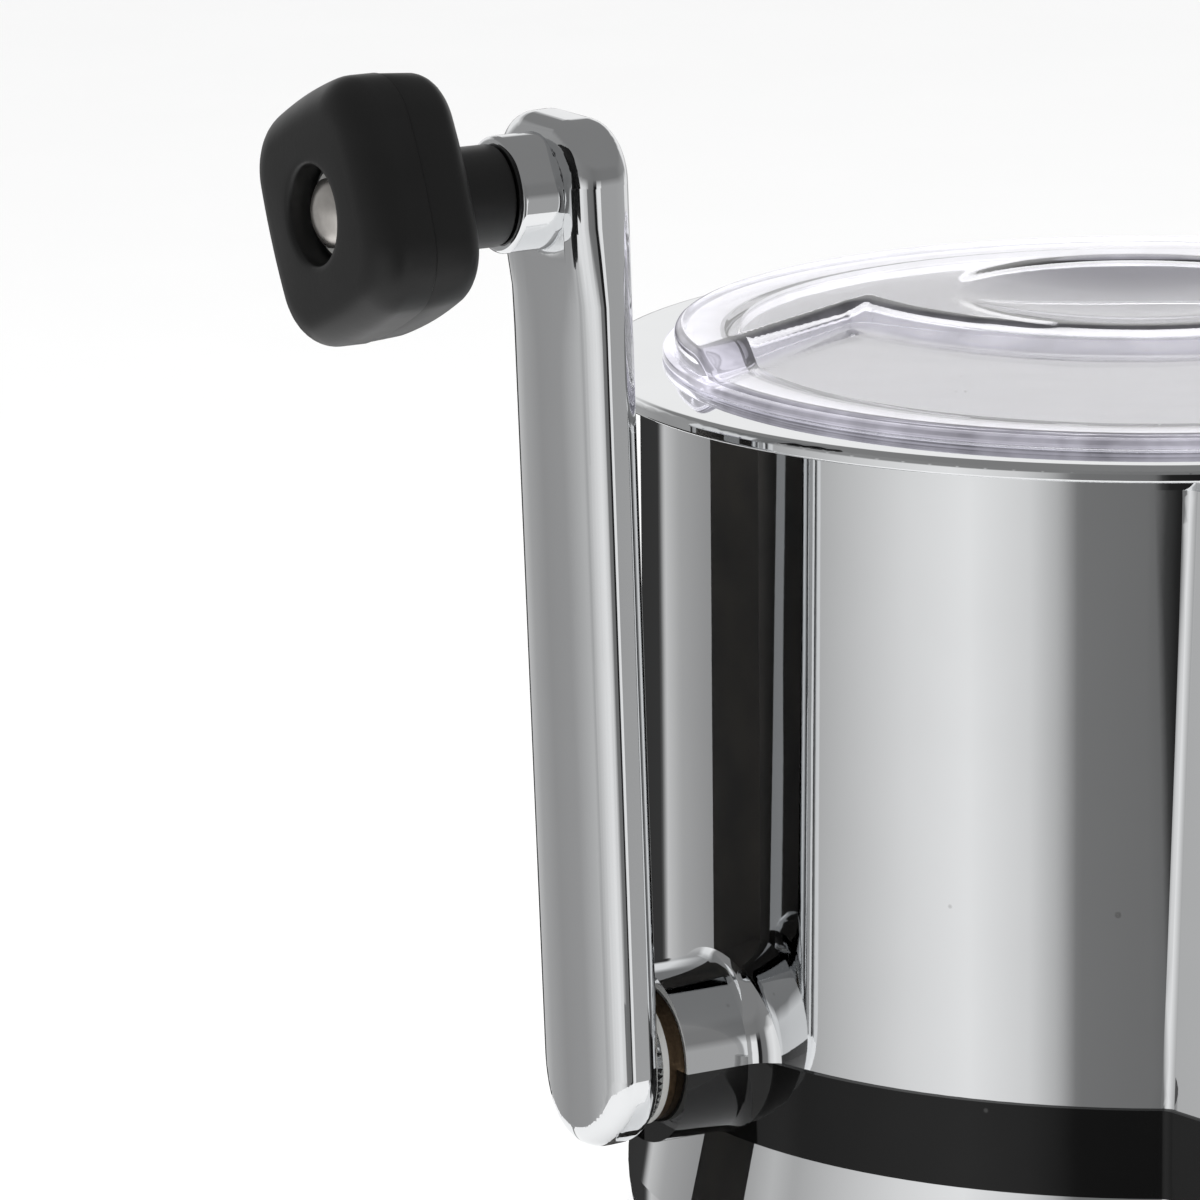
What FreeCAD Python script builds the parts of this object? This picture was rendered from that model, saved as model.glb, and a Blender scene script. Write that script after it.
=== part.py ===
# Hand crank ice crusher: a chromed base with a lift-off head, crank, rotor and clear lid.
# Lengths are millimetres. +Z is up, the origin is on the body axis at the face it stands on,
# the crank is on the -X side and the two ribs face -Y and +Y.

import FreeCAD, Part
import math
import os

import Sketcher

V = FreeCAD.Vector
doc = FreeCAD.newDocument("ice_crusher")

# Driving dimensions, one cell each
SIZES = {
    # heights of the whole object
    "base_edge_height": 2.5,
    "base_height": 140.5,
    "band_height": 11.5,
    "housing_height": 83.2,
    # outline seen from above
    "wall_radius": 66.5,
    "band_proud": 0.5,
    "collar_radius": 72.5,
    "collar_depth": 2.1,
    "collar_round": 1.0,
    "collar_under_round": 0.4,
    "rib_reach": 73.6,
    "rib_face_radius": 70.0,
    "rib_side": 42.3,
    "rib_draft": 8.0,
    "rib_taper": 1.8,
    "rib_corner_round": 2.2,
    "rib_top_drop": 0.7,
    "rib_top_round": 1.4,
    "rib_top_share": 0.3,
    "shell": 2.5,
    # base
    "base_flare": 5.5,
    "shoulder_flare": 2.5,
    "shoulder_drop": 13.0,
    "base_floor_height": 10.0,
    "base_plate_depth": 4.0,
    "base_plate_gap": 0.4,
    "base_screw_circle": 52.0,
    "base_screw_radius": 1.8,
    "base_screw_head_radius": 3.4,
    "base_screw_head_depth": 1.6,
    "base_screw_length": 4.2,
    "foot_radius": 62.0,
    "foot_bevel": 0.8,
    "foot_seat": 1.0,
    "foot_hole_gap": 0.6,
    # frame between base and housing
    "deck": 3.0,
    "throat_radius": 33.0,
    "chamber_radius": 35.0,
    "chamber_wall": 3.0,
    "chamber_top": 24.0,
    "spigot_depth": 6.0,
    "spigot_gap": 0.6,
    "spigot_wall": 2.2,
    "seal_height": 2.0,
    "seal_proud": 0.3,
    "seal_seat": 0.9,
    # shaft and bearings
    "shaft_radius": 5.0,
    "running_gap": 0.05,
    "fit_gap": 0.02,
    "bush_wall": 2.0,
    "bush_flange": 1.6,
    "bush_flange_depth": 1.2,
    "bearing_length": 11.0,
    "bearing_wall": 3.0,
    "boss_radius": 11.5,
    "boss_reach": 77.6,
    "boss_flare_radius": 15.5,
    "clip_radius": 7.6,
    "clip_depth": 1.2,
    "clip_groove": 0.6,
    # rotor and comb
    "wheel_radius": 21.0,
    "wheel_root_radius": 9.5,
    "wheel_depth": 5.0,
    "wheel_pitch": 11.0,
    "spike_half_width": 4.2,
    "spike_nose_share": 0.35,
    "wheel_turn": 22.5,
    "comb_thick": 2.5,
    "comb_half_width": 21.0,
    "comb_tooth_half": 1.9,
    "comb_tip_gap": 1.5,
    "comb_root": 30.0,
    "comb_back": 52.0,
    "comb_slot_gap": 0.3,
    "comb_screw_offset": 14.0,
    "comb_screw_radius": 2.0,
    "comb_screw_head_radius": 3.6,
    "comb_screw_head_depth": 2.0,
    "comb_screw_length": 6.0,
    # hopper
    "mouth_radius": 56.0,
    "liner_wall": 1.8,
    "liner_flange_width": 2.6,
    "liner_flange_depth": 1.4,
    "cone_top_drop": 32.0,
    # housing screws
    "housing_screw_x": 22.0,
    "housing_screw_y": 64.0,
    "housing_screw_radius": 2.0,
    "housing_screw_head_radius": 3.6,
    "housing_screw_head_depth": 2.2,
    "housing_screw_length": 16.0,
    "screw_post_radius": 4.6,
    "screw_post_height": 22.0,
    # driver slots, as shares of the head and the shank
    "slot_reach_share": 0.55,
    "slot_width_share": 0.25,
    "slot_depth_share": 0.5,
    "socket_radius_share": 0.5,
    "socket_depth_share": 0.4,
    # lid
    "lid_flange_radius": 63.5,
    "lid_flange_depth": 1.4,
    "lid_radius": 62.0,
    "lid_floor": 1.8,
    "lid_under": 1.4,
    "lid_top": 4.3,
    "lid_foot_end": 26.0,
    "lid_foot_shoulder_x": 38.6,
    "lid_foot_shoulder_y": 9.0,
    "lid_foot_front": 12.5,
    "lid_crest_end": 16.5,
    "lid_crest_shoulder_x": 36.0,
    "lid_crest_shoulder_y": 20.0,
    "lid_crest_front": 2.8,
    "lid_dish_offset": 22.0,
    "lid_dish_radius": 24.2,
    "lid_dish_depth": 3.2,
    "lid_skirt_gap": 0.6,
    "lid_skirt_wall": 2.0,
    "lid_skirt_depth": 7.0,
    "lid_turn": -30.0,
    # crank arm
    "arm_length": 113.5,
    "arm_lean": -1.8,
    "arm_thick": 8.0,
    "arm_pivot_half": 10.6,
    "arm_pivot_end": 10.8,
    "arm_knob_half": 11.4,
    "arm_knob_end": 9.3,
    "arm_knob_corner": 7.5,
    "arm_round": 3.0,
    "arm_hub_radius": 9.0,
    "arm_hub_stand": 0.4,
    "arm_skin": 1.6,
    "washer_depth": 0.9,
    "washer_gap": 0.05,
    "set_screw_radius": 2.0,
    "set_screw_length": 5.0,
    # knob
    "ferrule_radius": 7.35,
    "ferrule_sink": 0.35,
    "ferrule_length": 6.3,
    "ferrule_round": 0.8,
    "stem_radius": 6.4,
    "stem_length": 10.2,
    "knob_half": 15.5,
    "knob_corner": 8.6,
    "knob_bulge": 75.0,
    "knob_depth": 15.3,
    "knob_round": 3.6,
    "knob_turn": -24.0,
    "knob_recess_radius": 6.2,
    "knob_recess_depth": 4.2,
    "pin_radius": 3.0,
    "pin_gap": 0.06,
    "pin_head_radius": 4.3,
    "pin_head_dome": 1.6,
    "pin_head_edge": 0.8,
    "pin_thread_depth": 5.0,
    "knob_washer_radius": 5.4,
    "knob_washer_depth": 0.7,
    "knob_end_play": 0.3,
}

WHEELS = 5
SPIKES = 4

sheet = doc.addObject("Spreadsheet::Sheet", "Sizes")
for row, (alias, number) in enumerate(SIZES.items(), 1):
    sheet.set(f"A{row}", alias)
    sheet.set(f"B{row}", str(number))
    sheet.setAlias(f"B{row}", alias)
doc.recompute()


class Size:
    """A length that keeps its number together with the formula it came from."""

    def __init__(self, text, number):
        self.text = text
        self.number = number

    def join(self, other, sign, number):
        other = as_size(other)
        return Size(f"({self.text} {sign} {other.text})", number)

    def __add__(self, other):
        return self.join(other, "+", self.number + as_size(other).number)

    def __sub__(self, other):
        return self.join(other, "-", self.number - as_size(other).number)

    def __mul__(self, other):
        return self.join(other, "*", self.number * as_size(other).number)

    def __truediv__(self, other):
        return self.join(other, "/", self.number / as_size(other).number)

    def __radd__(self, other):
        return as_size(other) + self

    def __rsub__(self, other):
        return as_size(other) - self

    def __rmul__(self, other):
        return as_size(other) * self

    def __neg__(self):
        return as_size(0) - self

    def root(self):
        return Size(f"sqrt({self.text})", math.sqrt(self.number))


def as_size(value):
    if isinstance(value, Size):
        return value
    return Size(repr(float(value)), float(value))


def size(alias):
    return Size(f"Sizes.{alias}", SIZES[alias])


def bind(item, prop, value):
    item.setExpression(prop, as_size(value).text)


# Bodies, sketches and features

def new_body(label):
    body = doc.addObject("PartDesign::Body", label)
    body.Label = label
    return body


def sketch_on(body, role, name, height=None):
    plane = next(item for item in body.Origin.OriginFeatures if item.Role == role)
    sketch = body.newObject("Sketcher::SketchObject", name)
    sketch.AttachmentSupport = (plane, [""])
    sketch.MapMode = "FlatFace"
    if height is not None:
        bind(sketch, "AttachmentOffset.Base.z", height)
    return sketch


def fix_point(sketch, geo, end, x, y):
    for axis, kind, value in ((-2, "DistanceX", as_size(x)), (-1, "DistanceY", as_size(y))):
        if value.text == "0.0":
            sketch.addConstraint(Sketcher.Constraint("PointOnObject", geo, end, axis))
        else:
            index = sketch.addConstraint(Sketcher.Constraint(kind, -1, 1, geo, end, value.number))
            sketch.setExpression(f"Constraints[{index}]", value.text)


def fix_radius(sketch, geo, radius):
    index = sketch.addConstraint(Sketcher.Constraint("Radius", geo, radius.number))
    sketch.setExpression(f"Constraints[{index}]", radius.text)


def outline(sketch, corners):
    """Closed outline. A corner is (x, y) or (x, y, radius, turn) with an arc to the next one."""
    ends = []
    count = len(corners)
    for index, corner in enumerate(corners):
        x0, y0 = as_size(corner[0]), as_size(corner[1])
        x1, y1 = as_size(corners[(index + 1) % count][0]), as_size(corners[(index + 1) % count][1])
        start = V(x0.number, y0.number, 0)
        stop = V(x1.number, y1.number, 0)
        if len(corner) == 2:
            geo = sketch.addGeometry(Part.LineSegment(start, stop), False)
            ends.append((geo, 1, 2))
            continue
        radius, turn = as_size(corner[2]), corner[3]
        chord = stop - start
        half = chord.Length / 2
        reach = math.sqrt(max(radius.number ** 2 - half ** 2, 0))
        side = V(-chord.y, chord.x, 0).normalize()
        centre = start + chord * 0.5 + side * reach * turn
        first, last = (start, stop) if turn > 0 else (stop, start)
        angle0 = math.atan2(first.y - centre.y, first.x - centre.x)
        angle1 = math.atan2(last.y - centre.y, last.x - centre.x)
        if angle1 < angle0:
            angle1 += 2 * math.pi
        circle = Part.Circle(centre, V(0, 0, 1), radius.number)
        geo = sketch.addGeometry(Part.ArcOfCircle(circle, angle0, angle1), False)
        ends.append((geo, 1, 2) if turn > 0 else (geo, 2, 1))
        fix_radius(sketch, geo, radius)
    for index, (geo, start, stop) in enumerate(ends):
        after, after_start, _ = ends[(index + 1) % count]
        sketch.addConstraint(Sketcher.Constraint("Coincident", geo, stop, after, after_start))
        fix_point(sketch, geo, start, corners[index][0], corners[index][1])


def circle(sketch, x, y, radius):
    x, y, radius = as_size(x), as_size(y), as_size(radius)
    ring = Part.Circle(V(x.number, y.number, 0), V(0, 0, 1), radius.number)
    geo = sketch.addGeometry(ring, False)
    fix_radius(sketch, geo, radius)
    fix_point(sketch, geo, 3, x, y)


def finish(body, feature, grows):
    """Recompute and compare volumes, so that a feature which points the wrong way shows."""
    before = finish.volume.get(body.Name, 0.0)
    doc.recompute()
    after = feature.Shape.Volume
    if grows != (after > before):
        raise RuntimeError(f"{feature.Name} on {body.Label} points the wrong way")
    finish.volume[body.Name] = after
    body.Tip = feature
    return feature


finish.volume = {}


def pad(body, sketch, length, down=False, both=False):
    feature = body.newObject("PartDesign::Pad", f"{sketch.Name}_pad")
    feature.Profile = sketch
    feature.Reversed = down
    feature.Midplane = both
    bind(feature, "Length", length)
    return finish(body, feature, True)


def pocket(body, sketch, length, down=False, both=False):
    feature = body.newObject("PartDesign::Pocket", f"{sketch.Name}_pocket")
    feature.Profile = sketch
    feature.Reversed = not down
    feature.Midplane = both
    bind(feature, "Length", length)
    return finish(body, feature, False)


def revolve(body, sketch, axis="V_Axis", angle=360, back=False):
    feature = body.newObject("PartDesign::Revolution", f"{sketch.Name}_turn")
    feature.Profile = sketch
    feature.ReferenceAxis = (sketch, [axis])
    feature.Angle = angle
    feature.Reversed = back
    return finish(body, feature, True)


def groove(body, sketch, axis="V_Axis"):
    feature = body.newObject("PartDesign::Groove", f"{sketch.Name}_groove")
    feature.Profile = sketch
    feature.ReferenceAxis = (sketch, [axis])
    feature.Angle = 360
    return finish(body, feature, False)


def loft(body, sketches, cut=False):
    kind = "PartDesign::SubtractiveLoft" if cut else "PartDesign::AdditiveLoft"
    feature = body.newObject(kind, f"{sketches[0].Name}_loft")
    feature.Profile = sketches[0]
    feature.Sections = sketches[1:]
    feature.Ruled = True
    return finish(body, feature, not cut)


def polar(body, feature, count):
    pattern = body.newObject("PartDesign::PolarPattern", f"{feature.Name}_around")
    pattern.Originals = [feature]
    axis = next(item for item in body.Origin.OriginFeatures if item.Role == "Z_Axis")
    pattern.Axis = (axis, [""])
    pattern.Angle = 360
    pattern.Occurrences = count
    body.Tip = pattern
    doc.recompute()
    finish.volume[body.Name] = pattern.Shape.Volume
    return pattern


def round_edges(body, base, radius, wanted):
    """Fillet the edges whose middle point is wanted."""
    names = []
    for index, edge in enumerate(base.Shape.Edges, 1):
        middle = edge.valueAt((edge.FirstParameter + edge.LastParameter) / 2)
        if wanted(edge, middle):
            names.append(f"Edge{index}")
    if not names:
        raise RuntimeError(f"no edge to round on {body.Label}")
    fillet = body.newObject("PartDesign::Fillet", f"{base.Name}_round")
    fillet.Base = (base, names)
    bind(fillet, "Radius", radius)
    body.Tip = fillet
    doc.recompute()
    finish.volume[body.Name] = fillet.Shape.Volume
    return fillet


def near(value, wanted, slack=0.05):
    return abs(value - wanted) < slack


parts = []


def keep(item, x=0, y=0, z=0):
    """Place a finished sub-part and put it on the list of nodes."""
    for letter, value in (("x", x), ("y", y), ("z", z)):
        if as_size(value).text != "0.0":
            bind(item, f"Placement.Base.{letter}", value)
    parts.append(item)
    return item


# Heights and radii that several pieces share
wall_radius = size("wall_radius")
shell = size("shell")
band_bottom = size("base_height")
split = band_bottom + size("band_height")
seat = split + size("housing_height")
shaft_radius = size("shaft_radius")
bore_radius = shaft_radius + size("running_gap")
bush_radius = bore_radius + size("bush_wall")
bush_hole = bush_radius + size("fit_gap")
end_centre = size("rib_reach") - size("rib_face_radius")
under_collar = seat - size("collar_depth")
rib_round = size("rib_corner_round")
chamber_outer = size("chamber_radius") + size("chamber_wall")
bearing_end = size("chamber_radius") + size("bearing_length")


def body_outline(sketch, grow, corner=None, taper=0):
    """Round wall with a rib at the front and back, all grown outwards by one amount.

    The ribs' side faces lean towards each other, and a taper makes the ribs alone smaller.
    Every corner is rounded if a radius is given.
    """
    wall = wall_radius + grow
    face = size("rib_face_radius") + grow - taper
    side = size("rib_side") + grow - taper
    lean = Size("sin(Sizes.rib_draft * 1deg)", math.sin(math.radians(SIZES["rib_draft"])))
    rise = Size("cos(Sizes.rib_draft * 1deg)", math.cos(math.radians(SIZES["rib_draft"])))
    bend = as_size(0) if corner is None else corner
    # centres of the rounding at the rib's root and at its tip
    reach = side + bend
    along = ((wall + bend) * (wall + bend) - reach * reach).root()
    root = (reach * rise - along * lean, reach * lean + along * rise)
    reach = side - bend
    across = reach - end_centre * lean
    along = end_centre * rise + ((face - bend) * (face - bend) - across * across).root()
    tip = (reach * rise - along * lean, reach * lean + along * rise)
    if corner is None:
        quarter = [root + (None, 0), tip + (face, 1)]
    else:
        on_wall = wall / (wall + bend)
        on_face = face / (face - bend)
        quarter = [(root[0] * on_wall, root[1] * on_wall, bend, -1),
                   (root[0] - bend * rise, root[1] - bend * lean, None, 0),
                   (tip[0] + bend * rise, tip[1] + bend * lean, bend, 1),
                   (tip[0] * on_face, end_centre + (tip[1] - end_centre) * on_face, face, 1)]
    corners = []
    for flip in (-1, 1):
        # up one side of the rib, across its face and down the other side, then along the wall
        for x, y, radius, turn in quarter:
            corners.append(arc_corner(x * flip, y * flip, radius, turn))
        back = quarter[::-1]
        for index, (x, y, _, _) in enumerate(back):
            radius, turn = back[index + 1][2:] if index + 1 < len(back) else (wall, 1)
            corners.append(arc_corner(-x * flip, y * flip, radius, turn))
    outline(sketch, corners)


def arc_corner(x, y, radius, turn):
    return (x, y) if radius is None else (x, y, radius, turn)


# Base: shell, plate, screws and foot

def make_base_container():
    body = new_body("base_container")
    low = sketch_on(body, "XY_Plane", "base_low", size("base_edge_height"))
    body_outline(low, size("base_flare"), rib_round)
    mid = sketch_on(body, "XY_Plane", "base_mid", band_bottom - size("shoulder_drop"))
    body_outline(mid, size("shoulder_flare"), rib_round)
    top = sketch_on(body, "XY_Plane", "base_top", band_bottom)
    body_outline(top, size("band_proud"), rib_round)
    loft(body, [low, mid, top])
    inner_low = sketch_on(body, "XY_Plane", "base_inner_low", size("base_floor_height"))
    body_outline(inner_low, size("base_flare") - shell)
    inner_mid = sketch_on(body, "XY_Plane", "base_inner_mid", band_bottom - size("shoulder_drop"))
    body_outline(inner_mid, size("shoulder_flare") - shell)
    inner_top = sketch_on(body, "XY_Plane", "base_inner_top", band_bottom)
    body_outline(inner_top, size("band_proud") - shell)
    loft(body, [inner_low, inner_mid, inner_top], cut=True)
    under = sketch_on(body, "XY_Plane", "base_under", size("base_edge_height"))
    circle(under, 0, 0, wall_radius)
    pocket(body, under, size("base_plate_depth"))
    holes = sketch_on(body, "XY_Plane", "base_screw_holes", base_screw_height())
    circle(holes, size("base_screw_circle"), 0, size("base_screw_radius") + size("fit_gap"))
    hole = pocket(body, holes, size("base_screw_length") + size("fit_gap"))
    polar(body, hole, 4)
    keep(body)


def base_screw_height():
    """Height of the underside of the base screws' heads, sunk in the plate above the foot."""
    return size("base_edge_height") + size("foot_seat") + size("base_screw_head_depth")


def make_base_plate():
    body = new_body("base_plate")
    bottom = size("base_edge_height")
    disc = sketch_on(body, "XY_Plane", "plate_disc", bottom)
    circle(disc, 0, 0, wall_radius - size("base_plate_gap"))
    pad(body, disc, size("base_plate_depth") - size("fit_gap"))
    seat_disc = sketch_on(body, "XY_Plane", "plate_foot_seat", bottom)
    circle(seat_disc, 0, 0, size("foot_radius") + size("fit_gap"))
    pocket(body, seat_disc, size("foot_seat"))
    sink = sketch_on(body, "XY_Plane", "plate_screw_sinks", bottom + size("foot_seat"))
    circle(sink, size("base_screw_circle"), 0, size("base_screw_head_radius") + size("fit_gap"))
    sunk = pocket(body, sink, size("base_screw_head_depth"))
    polar(body, sunk, 4)
    holes = sketch_on(body, "XY_Plane", "plate_screw_holes", bottom)
    circle(holes, size("base_screw_circle"), 0, size("base_screw_radius") + size("fit_gap"))
    hole = pocket(body, holes, size("base_plate_depth"))
    polar(body, hole, 4)
    keep(body)


def screw_profile(sketch, radius, head_radius, head_depth, length):
    """Half section of a screw with its head below the origin and its shank upwards."""
    outline(sketch, [(0, -head_depth), (head_radius, -head_depth), (head_radius, 0),
                     (radius, 0), (radius, length), (0, length)])


def screw_group(label, places, radius, head_radius, head_depth, length, tip_down=False):
    """Identical screws, one solid each, standing with the underside of the head at its place."""
    screws = []
    for index, (x, y, z) in enumerate(places):
        body = new_body(f"{label}_{index + 1}")
        half = sketch_on(body, "XZ_Plane", f"{label}_half_{index + 1}")
        screw_profile(half, radius, head_radius, head_depth, length)
        revolve(body, half)
        slot = sketch_on(body, "XY_Plane", f"{label}_slot_{index + 1}", -head_depth)
        reach = head_radius * size("slot_reach_share")
        wide = radius * size("slot_width_share")
        outline(slot, [(-reach, -wide), (reach, -wide), (reach, wide), (-reach, wide)])
        pocket(body, slot, head_depth * size("slot_depth_share"))
        for letter, value in (("x", x), ("y", y), ("z", z)):
            bind(body, f"Placement.Base.{letter}", value)
        if tip_down:
            body.Placement.Rotation = FreeCAD.Rotation(V(1, 0, 0), 180)
        screws.append(body)
    group = doc.addObject("Part::Compound", label)
    group.Links = screws
    group.Label = label
    keep(group)


def make_base_screws():
    circle_radius = size("base_screw_circle")
    height = base_screw_height()
    places = [(circle_radius, as_size(0), height), (as_size(0), circle_radius, height),
              (-circle_radius, as_size(0), height), (as_size(0), -circle_radius, height)]
    screw_group("base_screws", places, size("base_screw_radius"), size("base_screw_head_radius"),
                size("base_screw_head_depth") - size("fit_gap"), size("base_screw_length"))


def make_foot_pad():
    body = new_body("foot_pad")
    half = sketch_on(body, "XZ_Plane", "foot_half")
    radius, bevel = size("foot_radius"), size("foot_bevel")
    top = size("base_edge_height") + size("foot_seat")
    outline(half, [(0, 0), (radius - bevel, 0), (radius, bevel), (radius, top), (0, top)])
    revolve(body, half)
    ways = sketch_on(body, "XY_Plane", "foot_screw_ways")
    circle(ways, size("base_screw_circle"), 0,
           size("base_screw_head_radius") + size("foot_hole_gap"))
    way = pocket(body, ways, top)
    polar(body, way, 4)
    keep(body)


# Head: housing, frame, hopper and comb

def half_boss(body, name, upward):
    """Half of the crank boss, a half round bar that flares out where it meets the wall."""
    sketch = sketch_on(body, "XY_Plane", name, split)
    radius, flare = size("boss_radius"), size("boss_flare_radius")
    meets = -(wall_radius * wall_radius - flare * flare).root()
    outline(sketch, [(-size("boss_reach"), 0), (shell - wall_radius, 0), (shell - wall_radius, flare),
                     (meets, flare, flare - radius, -1), (meets - flare + radius, radius),
                     (-size("boss_reach"), radius)])
    revolve(body, sketch, "H_Axis", 180, not upward)


def shaft_hole(body, name, radius, length):
    """Hole along the shaft line, from the end of the boss inwards."""
    sketch = sketch_on(body, "YZ_Plane", name, -size("boss_reach"))
    circle(sketch, 0, split, radius)
    pocket(body, sketch, length)


def screw_places():
    x, y = size("housing_screw_x"), size("housing_screw_y")
    return [(x, y), (-x, y), (-x, -y), (x, -y)]


def make_upper_housing():
    body = new_body("upper_housing")
    rib_top = under_collar - size("rib_top_drop")
    fall, taper = size("rib_top_round"), size("rib_taper")
    share = size("rib_top_share")
    levels = [(split, as_size(0), as_size(0)), (rib_top - fall, as_size(0), taper),
              (rib_top - fall * share, -fall * share, taper), (rib_top, -fall, taper)]
    ribs = []
    for index, (height, grow, narrow) in enumerate(levels):
        ribs.append(sketch_on(body, "XY_Plane", f"housing_ribs_{index + 1}", height))
        body_outline(ribs[-1], grow, rib_round, narrow)
    loft(body, ribs)
    wall = sketch_on(body, "XY_Plane", "housing_wall", split)
    circle(wall, 0, 0, wall_radius)
    pad(body, wall, size("housing_height") - size("collar_depth"))
    inner_low = sketch_on(body, "XY_Plane", "housing_inner_low", split)
    body_outline(inner_low, -shell)
    inner_high = sketch_on(body, "XY_Plane", "housing_inner_high", under_collar - shell)
    body_outline(inner_high, -shell, None, taper)
    loft(body, [inner_low, inner_high], cut=True)
    collar = sketch_on(body, "XY_Plane", "housing_collar", under_collar)
    circle(collar, 0, 0, size("collar_radius"))
    top = pad(body, collar, size("collar_depth"))
    rim = SIZES["collar_radius"]
    top = round_edges(body, top, size("collar_round"), lambda edge, middle: (
        near(middle.z, seat.number) and near(math.hypot(middle.x, middle.y), rim)))
    round_edges(body, top, size("collar_under_round"), lambda edge, middle: (
        near(middle.z, under_collar.number) and near(math.hypot(middle.x, middle.y), rim)))
    mouth = sketch_on(body, "XY_Plane", "housing_mouth", seat)
    circle(mouth, 0, 0, size("mouth_radius") + size("liner_wall") + size("fit_gap"))
    pocket(body, mouth, size("collar_depth") + shell, down=True)
    rebate = sketch_on(body, "XY_Plane", "housing_rebate", seat)
    circle(rebate, 0, 0, size("mouth_radius") + size("liner_wall") + size("liner_flange_width")
           + size("fit_gap"))
    pocket(body, rebate, size("liner_flange_depth") + size("fit_gap"), down=True)
    posts = sketch_on(body, "XY_Plane", "housing_posts", split)
    for x, y in screw_places():
        circle(posts, x, y, size("screw_post_radius"))
    pad(body, posts, size("screw_post_height"))
    post_holes = sketch_on(body, "XY_Plane", "housing_post_holes", split)
    for x, y in screw_places():
        circle(post_holes, x, y, size("housing_screw_radius") + size("fit_gap"))
    pocket(body, post_holes, size("housing_screw_length"))
    half_boss(body, "housing_boss", True)
    boss_bore(body, "housing")
    keep(body)


def boss_bore(body, prefix):
    """Bore of the boss bush, which opens the wall as well."""
    shaft_hole(body, f"{prefix}_boss_bore", bush_hole, size("boss_reach") - wall_radius + shell * 2)


def make_mid_frame():
    body = new_body("mid_frame")
    grow = size("band_proud")
    band = sketch_on(body, "XY_Plane", "frame_band", band_bottom)
    body_outline(band, grow, rib_round)
    pad(body, band, size("band_height"))
    half_boss(body, "frame_boss", False)
    clip = sketch_on(body, "XY_Plane", "frame_boss_clip", band_bottom)
    far, wide = size("boss_reach") + shell, size("boss_flare_radius") + shell
    outline(clip, [(-far, -wide), (0, -wide), (0, wide), (-far, wide)])
    pocket(body, clip, size("boss_flare_radius"), down=True)
    tray = sketch_on(body, "XY_Plane", "frame_tray", split)
    body_outline(tray, grow - shell)
    pocket(body, tray, size("band_height") - size("deck"), down=True)
    spigot = sketch_on(body, "XY_Plane", "frame_spigot", band_bottom)
    spigot_radius = wall_radius + grow - shell - size("spigot_gap")
    circle(spigot, 0, 0, spigot_radius)
    circle(spigot, 0, 0, spigot_radius - size("spigot_wall"))
    pad(body, spigot, size("spigot_depth"), down=True)
    chamber = sketch_on(body, "XY_Plane", "frame_chamber", band_bottom)
    circle(chamber, 0, 0, chamber_outer)
    pad(body, chamber, size("band_height") + size("chamber_top"))
    bearings = sketch_on(body, "YZ_Plane", "frame_bearings", -bearing_end)
    circle(bearings, 0, split, bush_hole + size("bearing_wall"))
    pad(body, bearings, bearing_end * 2)
    comb_pad = sketch_on(body, "XY_Plane", "frame_comb_pad", band_bottom + size("deck"))
    half, back = size("comb_half_width") + size("shell"), size("comb_back")
    outline(comb_pad, [(-half, -back), (half, -back), (half, -size("comb_root")),
                       (-half, -size("comb_root"))])
    pad(body, comb_pad, size("band_height") - size("deck") - size("comb_thick") / 2)
    throat = sketch_on(body, "XY_Plane", "frame_throat", band_bottom)
    circle(throat, 0, 0, size("throat_radius"))
    pocket(body, throat, size("deck"))
    room = sketch_on(body, "XY_Plane", "frame_room", band_bottom + size("deck"))
    circle(room, 0, 0, size("chamber_radius"))
    pocket(body, room, size("band_height") + size("chamber_top"))
    slot = sketch_on(body, "XY_Plane", "frame_comb_slot", split - size("comb_thick") / 2)
    wide = size("comb_half_width") + size("comb_slot_gap")
    outline(slot, [(-wide, -chamber_outer - shell), (wide, -chamber_outer - shell),
                   (wide, -size("comb_root") + shell), (-wide, -size("comb_root") + shell)])
    pocket(body, slot, size("comb_thick") + size("comb_slot_gap"))
    comb_holes = sketch_on(body, "XY_Plane", "frame_comb_holes", split - size("comb_thick") / 2)
    for x in (-size("comb_screw_offset"), size("comb_screw_offset")):
        circle(comb_holes, x, comb_screw_y(), size("comb_screw_radius") + size("fit_gap"))
    pocket(body, comb_holes, size("comb_screw_length"), down=True)
    bores = sketch_on(body, "YZ_Plane", "frame_bearing_bores", -bearing_end)
    circle(bores, 0, split, bush_hole)
    pocket(body, bores, bearing_end * 2)
    boss_bore(body, "frame")
    sleeves = sketch_on(body, "XY_Plane", "frame_sleeves", band_bottom)
    for x, y in screw_places():
        circle(sleeves, x, y, size("screw_post_radius"))
    pad(body, sleeves, size("band_height"))
    sinks = sketch_on(body, "XY_Plane", "frame_screw_sinks", band_bottom)
    for x, y in screw_places():
        circle(sinks, x, y, size("housing_screw_head_radius") + size("fit_gap"))
    pocket(body, sinks, size("housing_screw_head_depth"))
    through = sketch_on(body, "XY_Plane", "frame_screw_holes", band_bottom)
    for x, y in screw_places():
        circle(through, x, y, size("housing_screw_radius") + size("fit_gap"))
    pocket(body, through, size("band_height"))
    seal = sketch_on(body, "XZ_Plane", "frame_seal_seat")
    middle = band_bottom - size("spigot_depth") / 2
    outline(seal, [(spigot_radius - size("seal_seat"), middle - size("seal_height") / 2),
                   (spigot_radius + shell, middle - size("seal_height") / 2),
                   (spigot_radius + shell, middle + size("seal_height") / 2),
                   (spigot_radius - size("seal_seat"), middle + size("seal_height") / 2)])
    groove(body, seal)
    keep(body)


def comb_screw_y():
    return -(chamber_outer + size("comb_back")) / 2


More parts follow.
